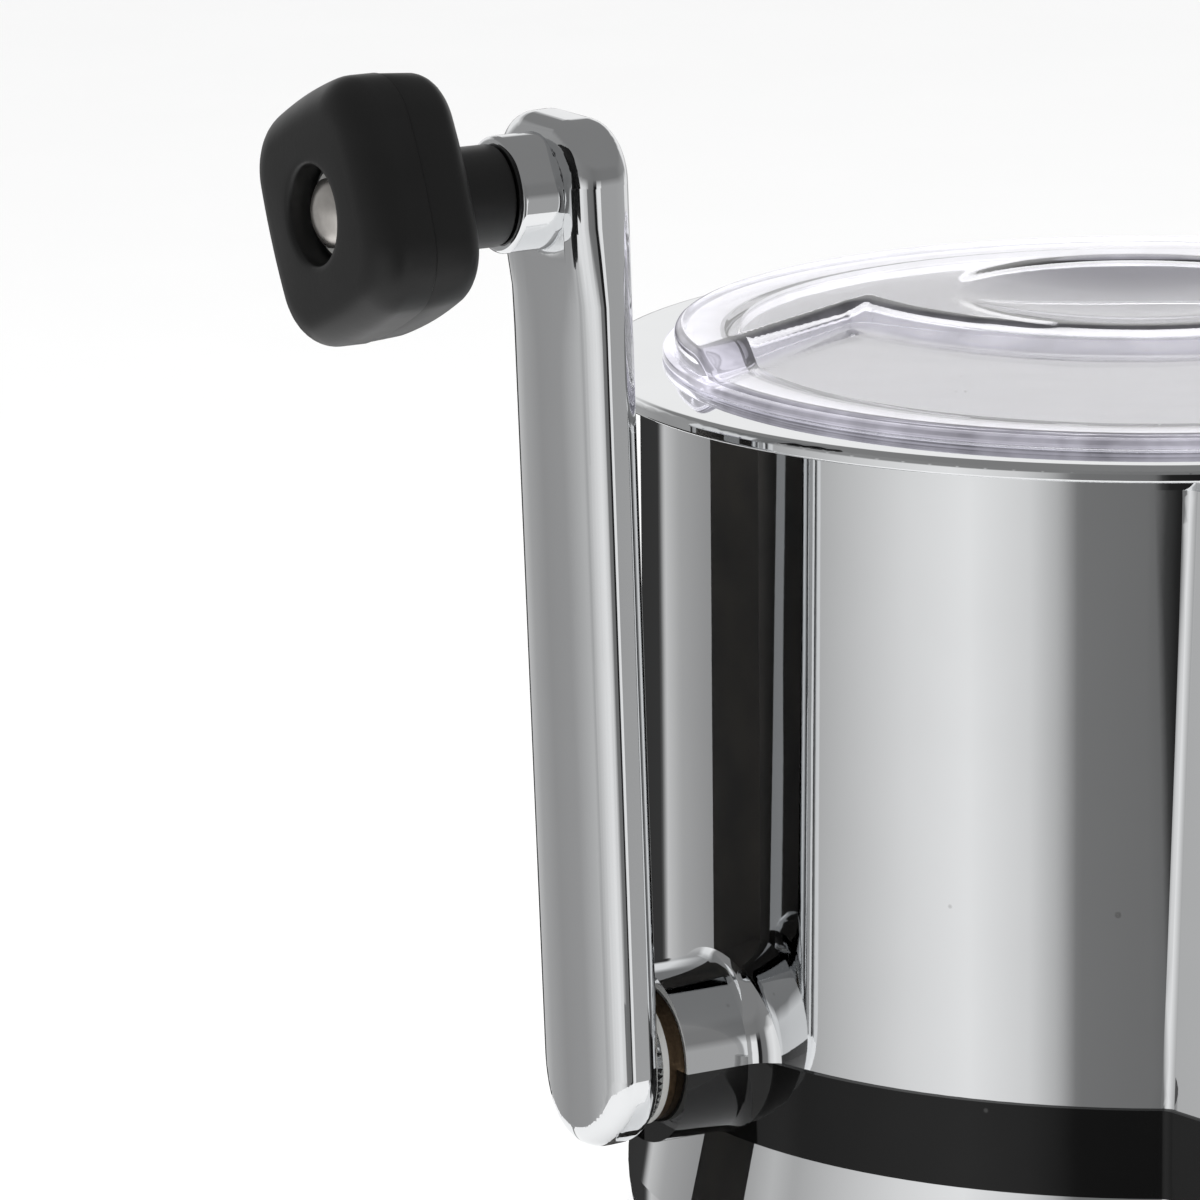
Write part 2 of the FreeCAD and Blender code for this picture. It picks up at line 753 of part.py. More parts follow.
def make_container_seal():
    body = new_body("container_seal")
    half = sketch_on(body, "XZ_Plane", "seal_half")
    spigot_radius = wall_radius + size("band_proud") - shell - size("spigot_gap")
    inner = spigot_radius - size("seal_seat") + size("fit_gap")
    outer = spigot_radius + size("seal_proud")
    middle = band_bottom - size("spigot_depth") / 2
    tall = size("seal_height") / 2 - size("fit_gap")
    outline(half, [(inner, middle - tall), (outer, middle - tall), (outer, middle + tall),
                   (inner, middle + tall)])
    revolve(body, half)
    keep(body)


def make_hopper_liner():
    body = new_body("hopper_liner")
    half = sketch_on(body, "XZ_Plane", "liner_half")
    mouth = size("mouth_radius")
    wall = size("liner_wall")
    throat = size("chamber_radius")
    low = split + size("chamber_top") + size("fit_gap")
    cone = seat - size("cone_top_drop")
    brim = seat - size("liner_flange_depth")
    outline(half, [(throat, low), (throat + wall, low), (mouth + wall, cone), (mouth + wall, brim),
                   (mouth + wall + size("liner_flange_width"), brim),
                   (mouth + wall + size("liner_flange_width"), seat), (mouth, seat), (mouth, cone)])
    revolve(body, half)
    keep(body)


def make_housing_screws():
    height = band_bottom + size("housing_screw_head_depth")
    places = [(x, y, height) for x, y in screw_places()]
    screw_group("housing_screws", places, size("housing_screw_radius"),
                size("housing_screw_head_radius"),
                size("housing_screw_head_depth") - size("fit_gap"),
                size("housing_screw_length") + size("band_height")
                - size("housing_screw_head_depth") - size("fit_gap"))


def make_bush(label, start, flange_left):
    """Plain bearing with a flange; start is where its barrel begins, on the -X end."""
    body = new_body(label)
    half = sketch_on(body, "XZ_Plane", f"{label}_half")
    length = size("bearing_length")
    rim = size("bush_flange_depth")
    wide = bush_radius + size("bush_flange")
    if flange_left:
        corners = [(-rim, bore_radius), (length, bore_radius), (length, bush_radius),
                   (0, bush_radius), (0, wide), (-rim, wide)]
    else:
        corners = [(0, bore_radius), (length + rim, bore_radius), (length + rim, wide),
                   (length, wide), (length, bush_radius), (0, bush_radius)]
    outline(half, corners)
    revolve(body, half, "H_Axis")
    keep(body, x=start, z=split)


def make_fixed_comb():
    body = new_body("fixed_comb")
    plate = sketch_on(body, "XY_Plane", "comb_plate", split - size("comb_thick") / 2)
    half, root, back = size("comb_half_width"), size("comb_root"), size("comb_back")
    tip = shaft_radius + size("bush_wall") + size("comb_tip_gap")
    tooth = size("comb_tooth_half")
    pitch = size("wheel_pitch")
    corners = [(-half, -back), (half, -back), (half, -root)]
    for index in range(WHEELS - 1):
        centre = pitch * ((WHEELS - 2) / 2 - index)
        corners += [(centre + tooth, -root), (centre + tooth, -tip - tooth),
                    (centre, -tip), (centre - tooth, -tip - tooth), (centre - tooth, -root)]
    corners.append((-half, -root))
    outline(plate, corners)
    pad(body, plate, size("comb_thick"))
    holes = sketch_on(body, "XY_Plane", "comb_holes", split - size("comb_thick") / 2)
    for x in (-size("comb_screw_offset"), size("comb_screw_offset")):
        circle(holes, x, comb_screw_y(), size("comb_screw_radius") + size("fit_gap"))
    pocket(body, holes, size("comb_thick"))
    keep(body)


def make_comb_screws():
    top = split + size("comb_thick") / 2 + size("fit_gap")
    places = [(x, comb_screw_y(), top)
              for x in (-size("comb_screw_offset"), size("comb_screw_offset"))]
    screw_group("comb_screws", places, size("comb_screw_radius"), size("comb_screw_head_radius"),
                size("comb_screw_head_depth"),
                size("comb_screw_length") + size("comb_thick") - size("fit_gap") * 2, tip_down=True)


# Lid

def make_lid():
    body = new_body("lid")
    half = sketch_on(body, "XZ_Plane", "lid_half")
    skirt = size("mouth_radius") - size("lid_skirt_gap")
    inner = skirt - size("lid_skirt_wall")
    outline(half, [(0, -size("lid_under")), (inner, -size("lid_under")),
                   (inner, -size("lid_skirt_depth")), (skirt, -size("lid_skirt_depth")), (skirt, 0),
                   (size("lid_flange_radius"), 0),
                   (size("lid_flange_radius"), size("lid_flange_depth")),
                   (size("lid_radius"), size("lid_flange_depth")),
                   (size("lid_radius"), size("lid_floor")), (0, size("lid_floor"))])
    revolve(body, half)
    foot = sketch_on(body, "XY_Plane", "lid_foot", size("lid_floor"))
    lid_plateau(foot, "foot")
    crest = sketch_on(body, "XY_Plane", "lid_crest", size("lid_top"))
    lid_plateau(crest, "crest")
    loft(body, [foot, crest])
    deep = size("lid_dish_depth")
    wide = size("lid_dish_radius")
    radius = (wide * wide + deep * deep) / (2 * deep)
    bowl = doc.addObject("Part::Sphere", "lid_dish_ball")
    bind(bowl, "Radius", radius)
    bind(bowl, "Placement.Base.y", size("lid_dish_offset"))
    bind(bowl, "Placement.Base.z", size("lid_top") - deep + radius)
    whole = doc.addObject("Part::Cut", "lid_whole")
    whole.Base = body
    whole.Tool = bowl
    body.Label = "lid_blank"
    whole.Label = "lid"
    bind(whole, "Placement.Base.z", seat)
    whole.Placement.Rotation = FreeCAD.Rotation(V(0, 0, 1), SIZES["lid_turn"])
    bind(whole, "Placement.Rotation.Angle", size("lid_turn"))
    doc.recompute()
    keep(whole)


def lid_plateau(sketch, level):
    """Raised crescent and hub at one height: both arms, the rounded hub front and the rim."""
    radius = size("lid_radius")
    end, front = size(f"lid_{level}_end"), size(f"lid_{level}_front")
    x, y = size(f"lid_{level}_shoulder_x"), size(f"lid_{level}_shoulder_y")
    edge = (radius * radius - end * end).root()
    rise = y + front
    outline(sketch, [(-edge, -end), (-x, y, (x * x + rise * rise) / (2 * rise), 1), (x, y),
                     (edge, -end, radius, 1), (0, radius, radius, 1)])


# Crank: shaft, rotor, arm and knob

lean_sin = Size("sin(Sizes.arm_lean * 1deg)", math.sin(math.radians(SIZES["arm_lean"])))
lean_cos = Size("cos(Sizes.arm_lean * 1deg)", math.cos(math.radians(SIZES["arm_lean"])))
hub_start = (size("boss_reach") + size("bush_flange_depth") + size("washer_depth")
             + size("washer_gap") * 2)
arm_x = hub_start + size("arm_hub_stand") + size("arm_thick") / 2
knob_x = size("arm_length") * lean_sin - arm_x
knob_z = size("arm_length") * lean_cos + split
arm_face = size("arm_thick") / 2 - size("ferrule_sink")
clip_at = bearing_end + size("bush_flange_depth") + size("fit_gap")
shaft_left = arm_x + size("arm_thick") / 2 - size("arm_skin") - size("fit_gap")
shaft_right = clip_at + size("clip_depth") * 3


def make_drive_shaft():
    body = new_body("drive_shaft")
    half = sketch_on(body, "XZ_Plane", "shaft_half")
    neck = shaft_radius - size("clip_groove")
    clip = size("clip_depth") + size("fit_gap")
    outline(half, [(-shaft_left, 0), (shaft_right, 0), (shaft_right, shaft_radius),
                   (clip_at + clip, shaft_radius), (clip_at + clip, neck), (clip_at, neck),
                   (clip_at, shaft_radius), (-clip_at, shaft_radius), (-clip_at, neck),
                   (-clip_at - clip, neck), (-clip_at - clip, shaft_radius),
                   (-shaft_left, shaft_radius)])
    revolve(body, half, "H_Axis")
    keep(body, z=split)


def make_rotor_wheels():
    wheels = []
    tip = size("wheel_radius")
    root = size("wheel_root_radius")
    half = size("spike_half_width")
    for index in range(WHEELS):
        body = new_body(f"rotor_wheel_{index + 1}")
        star = sketch_on(body, "YZ_Plane", f"wheel_star_{index + 1}")
        shoulder = (root * root - half * half).root()
        nose = half * size("spike_nose_share")
        corners = []
        for quarter in range(SPIKES):
            corners += [turned(shoulder, -half, quarter), turned(tip, -nose, quarter),
                        turned(tip, nose, quarter), turned(shoulder, half, quarter) + (root, 1)]
        outline(star, corners)
        pad(body, star, size("wheel_depth"), both=True)
        bore = sketch_on(body, "YZ_Plane", f"wheel_bore_{index + 1}")
        circle(bore, 0, 0, shaft_radius + size("fit_gap"))
        pocket(body, bore, size("wheel_depth") * 2, both=True)
        bind(body, "Placement.Base.x", size("wheel_pitch") * (index - WHEELS // 2))
        bind(body, "Placement.Base.z", split)
        body.Placement.Rotation = FreeCAD.Rotation(V(1, 0, 0), SIZES["wheel_turn"] * index)
        wheels.append(body)
    group = doc.addObject("Part::Compound", "rotor_wheels")
    group.Links = wheels
    group.Label = "rotor_wheels"
    keep(group)


def turned(x, y, quarter):
    """A point turned about the origin by quarter turns."""
    for _ in range(quarter):
        x, y = -y, x
    return (x, y)


def tube(label, prefix, start, length, inner, outer):
    """One ring on the shaft line, from start towards +X."""
    body = new_body(label)
    half = sketch_on(body, "XZ_Plane", f"{prefix}_half")
    outline(half, [(0, inner), (length, inner), (length, outer), (0, outer)])
    revolve(body, half, "H_Axis")
    bind(body, "Placement.Base.x", start)
    bind(body, "Placement.Base.z", split)
    return body


def make_rotor_spacers():
    inner = shaft_radius + size("fit_gap")
    outer = shaft_radius + size("bush_wall")
    gap = size("fit_gap")
    between = size("wheel_pitch") - size("wheel_depth") - gap * 2
    edge = size("wheel_pitch") * (WHEELS // 2) + size("wheel_depth") / 2 + gap
    rings = []
    for index in range(WHEELS - 1):
        start = size("wheel_pitch") * (index - WHEELS // 2) + size("wheel_depth") / 2 + gap
        rings.append(tube(f"rotor_spacer_{index + 1}", f"spacer_{index + 1}", start, between,
                          inner, outer))
    reach = size("chamber_radius") - size("bush_flange_depth") - edge - gap
    for name, start in (("left", -edge - reach), ("right", edge)):
        rings.append(tube(f"rotor_spacer_{name}", f"spacer_{name}", start, reach, inner, outer))
    group = doc.addObject("Part::Compound", "rotor_spacers")
    group.Links = rings
    group.Label = "rotor_spacers"
    keep(group)


def make_shaft_clips():
    inner = shaft_radius - size("clip_groove") + size("fit_gap")
    rings = [tube("shaft_clip_left", "clip_left", -clip_at - size("clip_depth"), size("clip_depth"),
                  inner, size("clip_radius")),
             tube("shaft_clip_right", "clip_right", clip_at, size("clip_depth"), inner,
                  size("clip_radius"))]
    group = doc.addObject("Part::Compound", "shaft_clips")
    group.Links = rings
    group.Label = "shaft_clips"
    keep(group)


def make_thrust_washer():
    body = tube("thrust_washer", "washer", size("washer_gap") - hub_start, size("washer_depth"),
                shaft_radius + size("fit_gap"), size("arm_hub_radius"))
    parts.append(body)


def lean(item):
    """Put a piece of the crank on the leaning arm: its pivot is the piece's own origin."""
    bind(item, "Placement.Base.x", -arm_x)
    bind(item, "Placement.Base.z", split)
    item.Placement.Rotation = FreeCAD.Rotation(V(0, 1, 0), SIZES["arm_lean"])
    bind(item, "Placement.Rotation.Angle", size("arm_lean"))


def make_crank_arm():
    bar = new_body("arm_bar")
    side = sketch_on(bar, "YZ_Plane", "arm_side")
    low, high, corner = size("arm_pivot_half"), size("arm_knob_half"), size("arm_knob_corner")
    base = low - size("arm_pivot_end")
    top = size("arm_length") + size("arm_knob_end")
    outline(side, [(-low, base, low, 1), (0, base - low, low, 1), (low, base),
                   (high, top - corner, corner, 1), (high - corner, top),
                   (corner - high, top, corner, 1), (-high, top - corner)])
    solid = pad(bar, side, size("arm_thick"), both=True)
    half = SIZES["arm_thick"] / 2
    round_edges(bar, solid, size("arm_round"), lambda edge, middle: near(abs(middle.x), half))
    lean(bar)
    hub = doc.addObject("Part::Cylinder", "arm_hub")
    bind(hub, "Radius", size("arm_hub_radius"))
    bind(hub, "Height", arm_x - hub_start)
    hub.Placement.Rotation = FreeCAD.Rotation(V(0, 1, 0), 90)
    bind(hub, "Placement.Base.x", -arm_x)
    bind(hub, "Placement.Base.z", split)
    joined = doc.addObject("Part::Fuse", "arm_joined")
    joined.Base = bar
    joined.Tool = hub
    bore = doc.addObject("Part::Cylinder", "arm_bore")
    bind(bore, "Radius", shaft_radius + size("fit_gap"))
    bind(bore, "Height", shaft_left - hub_start + size("washer_depth") * 2)
    bore.Placement.Rotation = FreeCAD.Rotation(V(0, 1, 0), 90)
    bind(bore, "Placement.Base.x", -shaft_left - size("fit_gap"))
    bind(bore, "Placement.Base.z", split)
    pin_hole = doc.addObject("Part::Cylinder", "arm_pin_hole")
    bind(pin_hole, "Radius", size("pin_radius") + size("fit_gap"))
    bind(pin_hole, "Height", size("pin_thread_depth") + size("fit_gap"))
    pin_hole.Placement.Rotation = FreeCAD.Rotation(V(0, 1, 0), 90)
    bind(pin_hole, "Placement.Base.x", knob_x - arm_face)
    bind(pin_hole, "Placement.Base.z", knob_z)
    spot = doc.addObject("Part::Cylinder", "arm_spot_face")
    bind(spot, "Radius", size("ferrule_radius") + size("fit_gap"))
    bind(spot, "Height", size("arm_thick"))
    spot.Placement.Rotation = FreeCAD.Rotation(V(0, 1, 0), 90)
    bind(spot, "Placement.Base.x", knob_x - arm_face - size("arm_thick"))
    bind(spot, "Placement.Base.z", knob_z)
    screw_hole = doc.addObject("Part::Cylinder", "arm_screw_hole")
    bind(screw_hole, "Radius", size("set_screw_radius") + size("fit_gap"))
    bind(screw_hole, "Height", size("arm_pivot_end") + size("arm_round"))
    screw_hole.Placement = set_screw_place()
    tools = doc.addObject("Part::MultiFuse", "arm_holes")
    tools.Shapes = [bore, pin_hole, spot, screw_hole]
    arm = doc.addObject("Part::Cut", "crank_arm")
    arm.Base = joined
    arm.Tool = tools
    arm.Label = "crank_arm"
    doc.recompute()
    keep(arm)


def set_screw_place():
    """The set screw stands under the pivot and points up at the shaft."""
    drop = SIZES["arm_pivot_end"] + SIZES["arm_round"]
    return FreeCAD.Placement(V(-arm_x.number, 0, split.number - drop), FreeCAD.Rotation())


def make_arm_set_screw():
    body = new_body("arm_set_screw")
    half = sketch_on(body, "XZ_Plane", "set_screw_half")
    radius, length = size("set_screw_radius"), size("set_screw_length")
    outline(half, [(0, 0), (radius, 0), (radius, length), (0, length)])
    revolve(body, half)
    socket = sketch_on(body, "XY_Plane", "set_screw_socket")
    circle(socket, 0, 0, radius * size("socket_radius_share"))
    pocket(body, socket, length * size("socket_depth_share"))
    keep(body, x=-arm_x, z=split - shaft_radius - length - size("fit_gap"))


def make_knob_ferrule():
    body = new_body("knob_ferrule")
    half = sketch_on(body, "XZ_Plane", "ferrule_half")
    start = -arm_face - size("fit_gap")
    end = start - size("ferrule_length")
    inner = size("pin_radius") + size("fit_gap")
    outer = size("ferrule_radius")
    outline(half, [(end, inner), (start, inner), (start, outer), (end, outer)])
    turn = revolve(body, half, "H_Axis")
    round_edges(body, turn, size("ferrule_round"), lambda edge, middle: (
        near(middle.x, end.number) and near(math.hypot(middle.y, middle.z), outer.number)))
    knob_line(body)
    keep(body)


def knob_line(item):
    """Move a piece made about its own X axis to the knob's line at the top of the arm."""
    bind(item, "Placement.Base.x", knob_x)
    bind(item, "Placement.Base.z", knob_z)


stem_end = arm_face + size("fit_gap") + size("ferrule_length") + size("running_gap") * 2
knob_back = stem_end + size("stem_length")
knob_front = knob_back + size("knob_depth")
recess_floor = knob_front - size("knob_recess_depth")


def make_knob():
    body = new_body("knob")
    face = sketch_on(body, "YZ_Plane", "knob_face", -knob_front)
    half, corner, bulge = size("knob_half"), size("knob_corner"), size("knob_bulge")
    flat = half - corner
    sag = bulge - (bulge * bulge - flat * flat).root()
    low = half - sag
    corners = []
    for quarter in range(SPIKES):
        corners += [turned(low, -flat, quarter) + (bulge, 1), turned(low, flat, quarter) + (corner, 1)]
    outline(face, corners)
    block = pad(body, face, size("knob_depth"))
    rounded = round_edges(body, block, size("knob_round"), lambda edge, middle: (
        near(middle.x, -knob_front.number) or near(middle.x, -knob_back.number)))
    stem = sketch_on(body, "YZ_Plane", "knob_stem", -knob_back - size("knob_round"))
    circle(stem, 0, 0, size("stem_radius"))
    pad(body, stem, size("stem_length") + size("knob_round"))
    recess = sketch_on(body, "YZ_Plane", "knob_recess", -knob_front)
    circle(recess, 0, 0, size("knob_recess_radius"))
    pocket(body, recess, size("knob_recess_depth"))
    bore = sketch_on(body, "YZ_Plane", "knob_bore", -knob_front)
    circle(bore, 0, 0, size("pin_radius") + size("pin_gap"))
    pocket(body, bore, size("knob_depth") + size("stem_length"))
    body.Label = "knob_blank"
    turned_knob = doc.addObject("Part::Compound", "knob_turned")
    turned_knob.Links = [body]
    turned_knob.Label = "knob"
    body.Placement.Rotation = FreeCAD.Rotation(V(1, 0, 0), SIZES["knob_turn"])
    knob_line(turned_knob)
    keep(turned_knob)
    return rounded


def make_knob_washer():
    body = new_body("knob_washer")
    half = sketch_on(body, "XZ_Plane", "knob_washer_half")
    start = -recess_floor - size("fit_gap")
    end = start - size("knob_washer_depth")
    inner, outer = size("pin_radius") + size("pin_gap"), size("knob_washer_radius")
    outline(half, [(end, inner), (start, inner), (start, outer), (end, outer)])
    revolve(body, half, "H_Axis")
    knob_line(body)
    keep(body)


def make_knob_pin():
    body = new_body("knob_pin")
    half = sketch_on(body, "XZ_Plane", "pin_half")
    inner = size("pin_thread_depth") - arm_face
    under = -recess_floor - size("knob_washer_depth") - size("knob_end_play")
    edge = under - size("pin_head_edge")
    crown = edge - size("pin_head_dome")
    head = size("pin_head_radius")
    dome = size("pin_head_dome")
    radius = (head * head + dome * dome) / (2 * dome)
    outline(half, [(crown, 0), (inner, 0), (inner, size("pin_radius")), (under, size("pin_radius")),
                   (under, head), (edge, head, radius, 1)])
    revolve(body, half, "H_Axis")
    knob_line(body)
    keep(body)


make_base_container()
make_base_plate()
make_base_screws()
make_foot_pad()
make_upper_housing()
make_mid_frame()
make_hopper_liner()
make_fixed_comb()
make_comb_screws()
make_bush("left_bush", -bearing_end, True)
make_bush("right_bush", size("chamber_radius"), False)
make_bush("boss_bush", -size("boss_reach"), True)
make_housing_screws()
make_container_seal()
make_lid()
make_drive_shaft()
make_rotor_wheels()
make_rotor_spacers()
make_shaft_clips()
make_thrust_washer()
make_crank_arm()
make_arm_set_screw()
make_knob_ferrule()
make_knob_pin()
make_knob()
make_knob_washer()

doc.recompute()

# Every object is sound before anything is written
for item in doc.Objects:
    if "Invalid" in item.State or "Error" in item.State:
        raise RuntimeError(f"{item.Name} failed: {item.State}")
for item in parts:
    if item.Shape.isNull() or not item.Shape.isValid():
        raise RuntimeError(f"{item.Label} has no sound shape")

os.makedirs("parts", exist_ok=True)
for item in parts:
    item.Shape.exportStep(f"parts/{item.Label}.step")
    box = item.Shape.BoundBox
    print(f"{item.Label:16s} solids {len(item.Shape.Solids)} "
          f"volume {item.Shape.Volume / 1000:8.2f} cm3 "
          f"x {box.XMin:7.2f} {box.XMax:7.2f} y {box.YMin:7.2f} {box.YMax:7.2f} "
          f"z {box.ZMin:7.2f} {box.ZMax:7.2f}")
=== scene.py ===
import math

import bmesh
import bpy
from mathutils import Matrix, Vector


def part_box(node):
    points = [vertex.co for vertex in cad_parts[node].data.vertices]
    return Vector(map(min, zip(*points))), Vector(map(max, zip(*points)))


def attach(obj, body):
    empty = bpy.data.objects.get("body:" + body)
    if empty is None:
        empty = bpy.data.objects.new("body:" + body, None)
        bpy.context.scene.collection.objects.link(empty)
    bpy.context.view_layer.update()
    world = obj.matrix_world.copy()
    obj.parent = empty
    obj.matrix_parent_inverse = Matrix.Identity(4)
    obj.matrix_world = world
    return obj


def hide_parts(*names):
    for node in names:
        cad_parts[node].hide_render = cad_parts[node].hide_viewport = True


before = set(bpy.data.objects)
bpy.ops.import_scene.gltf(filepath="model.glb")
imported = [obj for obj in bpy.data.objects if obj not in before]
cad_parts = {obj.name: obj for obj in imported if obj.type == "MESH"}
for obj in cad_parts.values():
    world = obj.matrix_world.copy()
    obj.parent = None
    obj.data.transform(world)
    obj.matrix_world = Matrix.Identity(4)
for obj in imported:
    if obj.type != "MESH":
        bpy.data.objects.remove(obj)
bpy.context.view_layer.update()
scene = bpy.context.scene
MM = 0.001

# The camera stands where the photograph was taken from. It is a long lens that looks at the
# lid's seat from the crank's side, a little from above, rolled by a fraction of a degree.
seat_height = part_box("upper_housing")[1].z
view_azimuth = math.radians(-30)
view_pitch = math.radians(12.88)
view_roll = math.radians(0.6)
camera_aside, camera_back, camera_above = -72 * MM, 1024.8 * MM, 201.9 * MM
plan_right = Vector((math.cos(view_azimuth), math.sin(view_azimuth), 0))
plan_ahead = Vector((-math.sin(view_azimuth), math.cos(view_azimuth), 0))
look = plan_ahead * math.cos(view_pitch) - Vector((0, 0, math.sin(view_pitch)))
level_up = plan_right.cross(look)
picture_right = plan_right * math.cos(view_roll) - level_up * math.sin(view_roll)
picture_up = level_up * math.cos(view_roll) + plan_right * math.sin(view_roll)
lens = bpy.data.cameras.new("camera")
lens.lens, lens.sensor_width = 240, 36
lens.clip_start, lens.clip_end = 0.01, 50
camera = bpy.data.objects.new("camera", lens)
camera.matrix_world = Matrix((picture_right, picture_up, -look)).transposed().to_4x4()
camera.location = (plan_right * camera_aside - plan_ahead * camera_back
                   + Vector((0, 0, seat_height + camera_above)))
scene.collection.objects.link(camera)
scene.camera = camera


# The studio is a pale floor in soft white light, with a round light tent that only mirrors see.
# Bright plate shows nothing but its surroundings, so the tent's bands give the plate its look.
class Wire:
    """A socket in a node tree. Sums on it add Math nodes, and make() adds any other node."""

    def __init__(self, tree, socket=None):
        self.tree, self.socket = tree, socket

    def make(self, kind, settings=None, sockets=None, out=0):
        node = self.tree.nodes.new(kind)
        for name, value in (settings or {}).items():
            if name == "stops":
                stops = node.color_ramp.elements
                for index, (spot, shade) in enumerate(value):
                    stop = stops[index] if index < 2 else stops.new(spot)
                    stop.position, stop.color = spot, (shade, shade, shade, 1)
            else:
                setattr(node, name, value)
        for name, value in (sockets or {}).items():
            for item in value if isinstance(value, list) else [value]:
                if isinstance(item, Wire):
                    self.tree.links.new(item.socket, node.inputs[name])
                else:
                    node.inputs[name].default_value = item
        return Wire(self.tree, node.outputs[out] if len(node.outputs) else None)

    def sum(self, operation, first, second):
        return self.make("ShaderNodeMath", {"operation": operation}, {0: first, 1: second})

    def __add__(self, other):
        return self.sum("ADD", self, other)

    def __sub__(self, other):
        return self.sum("SUBTRACT", self, other)

    def __mul__(self, other):
        return self.sum("MULTIPLY", self, other)

    def __truediv__(self, other):
        return self.sum("DIVIDE", self, other)

    def __gt__(self, other):
        return self.sum("GREATER_THAN", self, other)

    def __radd__(self, other):
        return self.sum("ADD", other, self)

    def __rsub__(self, other):
        return self.sum("SUBTRACT", other, self)

    def __rmul__(self, other):
        return self.sum("MULTIPLY", other, self)

    def blend(self, low, high):
        """Colour from low to high as this value goes from 0 to 1."""
        return self.make("ShaderNodeMix", {"data_type": "RGBA"}, {0: self, 6: low, 7: high}, 2)

    def output(self, name):
        """Another output of the node that this socket belongs to."""
        return Wire(self.tree, self.socket.node.outputs[name])


def new_finish(name, **constants):
    """A material with its shader, a wire to build on and its Object coordinates."""
    material = bpy.data.materials.new(name)
    material.use_nodes = True
    shader = material.node_tree.nodes["Principled BSDF"]
    for socket, value in constants.items():
        shader.inputs[socket.replace("_", " ")].default_value = value
    base = Wire(material.node_tree)
    return material, shader, base, base.make("ShaderNodeTexCoord").output("Object")


def plug(shader, socket, wire):
    wire.tree.links.new(wire.socket, shader.inputs[socket])


def noise(base, place, size, detail=2.0):
    """Soft noise whose lumps are about size across."""
    return base.make("ShaderNodeTexNoise", {}, {
        "Vector": place, "Scale": 1 / size, "Detail": detail})


def grey(shade):
    return (shade, shade, shade, 1)


def new_piece(name, mesh, material):
    mesh.materials.append(material)
    piece = bpy.data.objects.new(name, mesh)
    scene.collection.objects.link(piece)
    return piece


floor_reach = 6.0
floor_mesh = bpy.data.meshes.new("floor")
floor_mesh.from_pydata([(x * floor_reach, y * floor_reach, 0) for x, y in
                        ((-1, -1), (1, -1), (1, 1), (-1, 1))], [], [(0, 1, 2, 3)])
floor_paint, shader, base, place = new_finish("floor_paint", Roughness=0.6)
plug(shader, "Base Color", noise(base, place, size=80 * MM).blend(grey(0.88), grey(0.90)))
new_piece("floor", floor_mesh, floor_paint)

world = bpy.data.worlds.new("studio")
world.use_nodes = True
world.node_tree.nodes["Background"].inputs["Color"].default_value = grey(1)
scene.world = world
scene.view_settings.view_transform = "Standard"
top_glow = bpy.data.lights.new("top_glow", "AREA")
lamp_width, lamp_power, lamp_height = 1.0, 8, 1.5
top_glow.size, top_glow.energy = lamp_width, lamp_power
top_lamp = bpy.data.objects.new("top_lamp", top_glow)
top_lamp.location = (0, 0, lamp_height)
top_lamp.visible_glossy = False
scene.collection.objects.link(top_lamp)

# Each ring of the tent is a radius and a height, from just over the floor to the top of the dome.
tent_radius, tent_sides = 420 * MM, 180
tent_rings = ((tent_radius, 2 * MM), (tent_radius, 300 * MM), (tent_radius, 620 * MM),
              (300 * MM, 720 * MM), (150 * MM, 760 * MM), (2 * MM, 770 * MM))
tent_mesh = bpy.data.meshes.new("tent")
tent_mesh.from_pydata(
    [(radius * math.cos(turn), radius * math.sin(turn), z) for radius, z in tent_rings
     for turn in (math.tau * i / tent_sides for i in range(tent_sides))], [],
    [(ring + i, ring + (i + 1) % tent_sides, ring + tent_sides + (i + 1) % tent_sides,
      ring + tent_sides + i) for i in range(tent_sides)
     for ring in range(0, tent_sides * (len(tent_rings) - 1), tent_sides)])
tent_paint = bpy.data.materials.new("tent_paint")
tent_paint.use_nodes = True
tent_paint.node_tree.nodes.clear()
base = Wire(tent_paint.node_tree)
axes = base.make("ShaderNodeSeparateXYZ", {}, {
    0: base.make("ShaderNodeTexCoord").output("Object")})
towards = view_azimuth - math.pi / 2
along = axes * math.cos(towards) + axes.output("Y") * math.sin(towards)
aside = axes * math.sin(towards) - axes.output("Y") * math.cos(towards)
turns = base.make("ShaderNodeMath", {"operation": "ARCTAN2"}, {0: aside, 1: along}) / math.tau + 0.5


def band_ramp(bands):
    """Brightness round the tent. Each band is degrees to the left of the camera, then a shade."""
    return base.make("ShaderNodeValToRGB", {
        "stops": [(angle / 360 + 0.5, shade) for angle, shade in bands]}, {0: turns})


# Upright walls show the low bands. Flat tops and faces that lean back a little show the high
# bands, and faces that lean back more show the dome, which is one even grey.
low_bands = band_ramp((
    (-180, 0.50), (-150, 0.50), (-148, 0.90), (-112, 0.90), (-110, 0.46), (-34, 0.40),
    (-32, 0.95), (-12, 0.90), (-10, 0.01), (1, 0.02), (3, 0.18), (18, 0.20), (22, 0.50),
    (28, 0.75), (41, 0.92), (55, 0.80), (68, 0.62), (81, 0.45), (87, 0.55), (98, 0.36),
    (113, 0.33), (127, 0.42), (137, 0.62), (141, 0.04), (170, 0.03), (179, 0.40)))
high_bands = band_ramp((
    (-180, 0.95), (-138, 0.95), (-125, 0.35), (-60, 0.22), (0, 0.20), (60, 0.28),
    (115, 0.35), (130, 0.95), (179, 0.95)))
high_from, high_to = 220 * MM, 290 * MM
dome_from, dome_to, dome_shade = 400 * MM, 480 * MM, 0.24
tent_height = axes.output("Z")
rise = base.make("ShaderNodeMapRange", {}, {0: tent_height, 1: high_from, 2: high_to})
ceiling = base.make("ShaderNodeMapRange", {}, {0: tent_height, 1: dome_from, 2: dome_to})
walls = rise.blend(low_bands, high_bands)
glow = base.make("ShaderNodeEmission", {}, {"Color": ceiling.blend(walls, grey(dome_shade))})
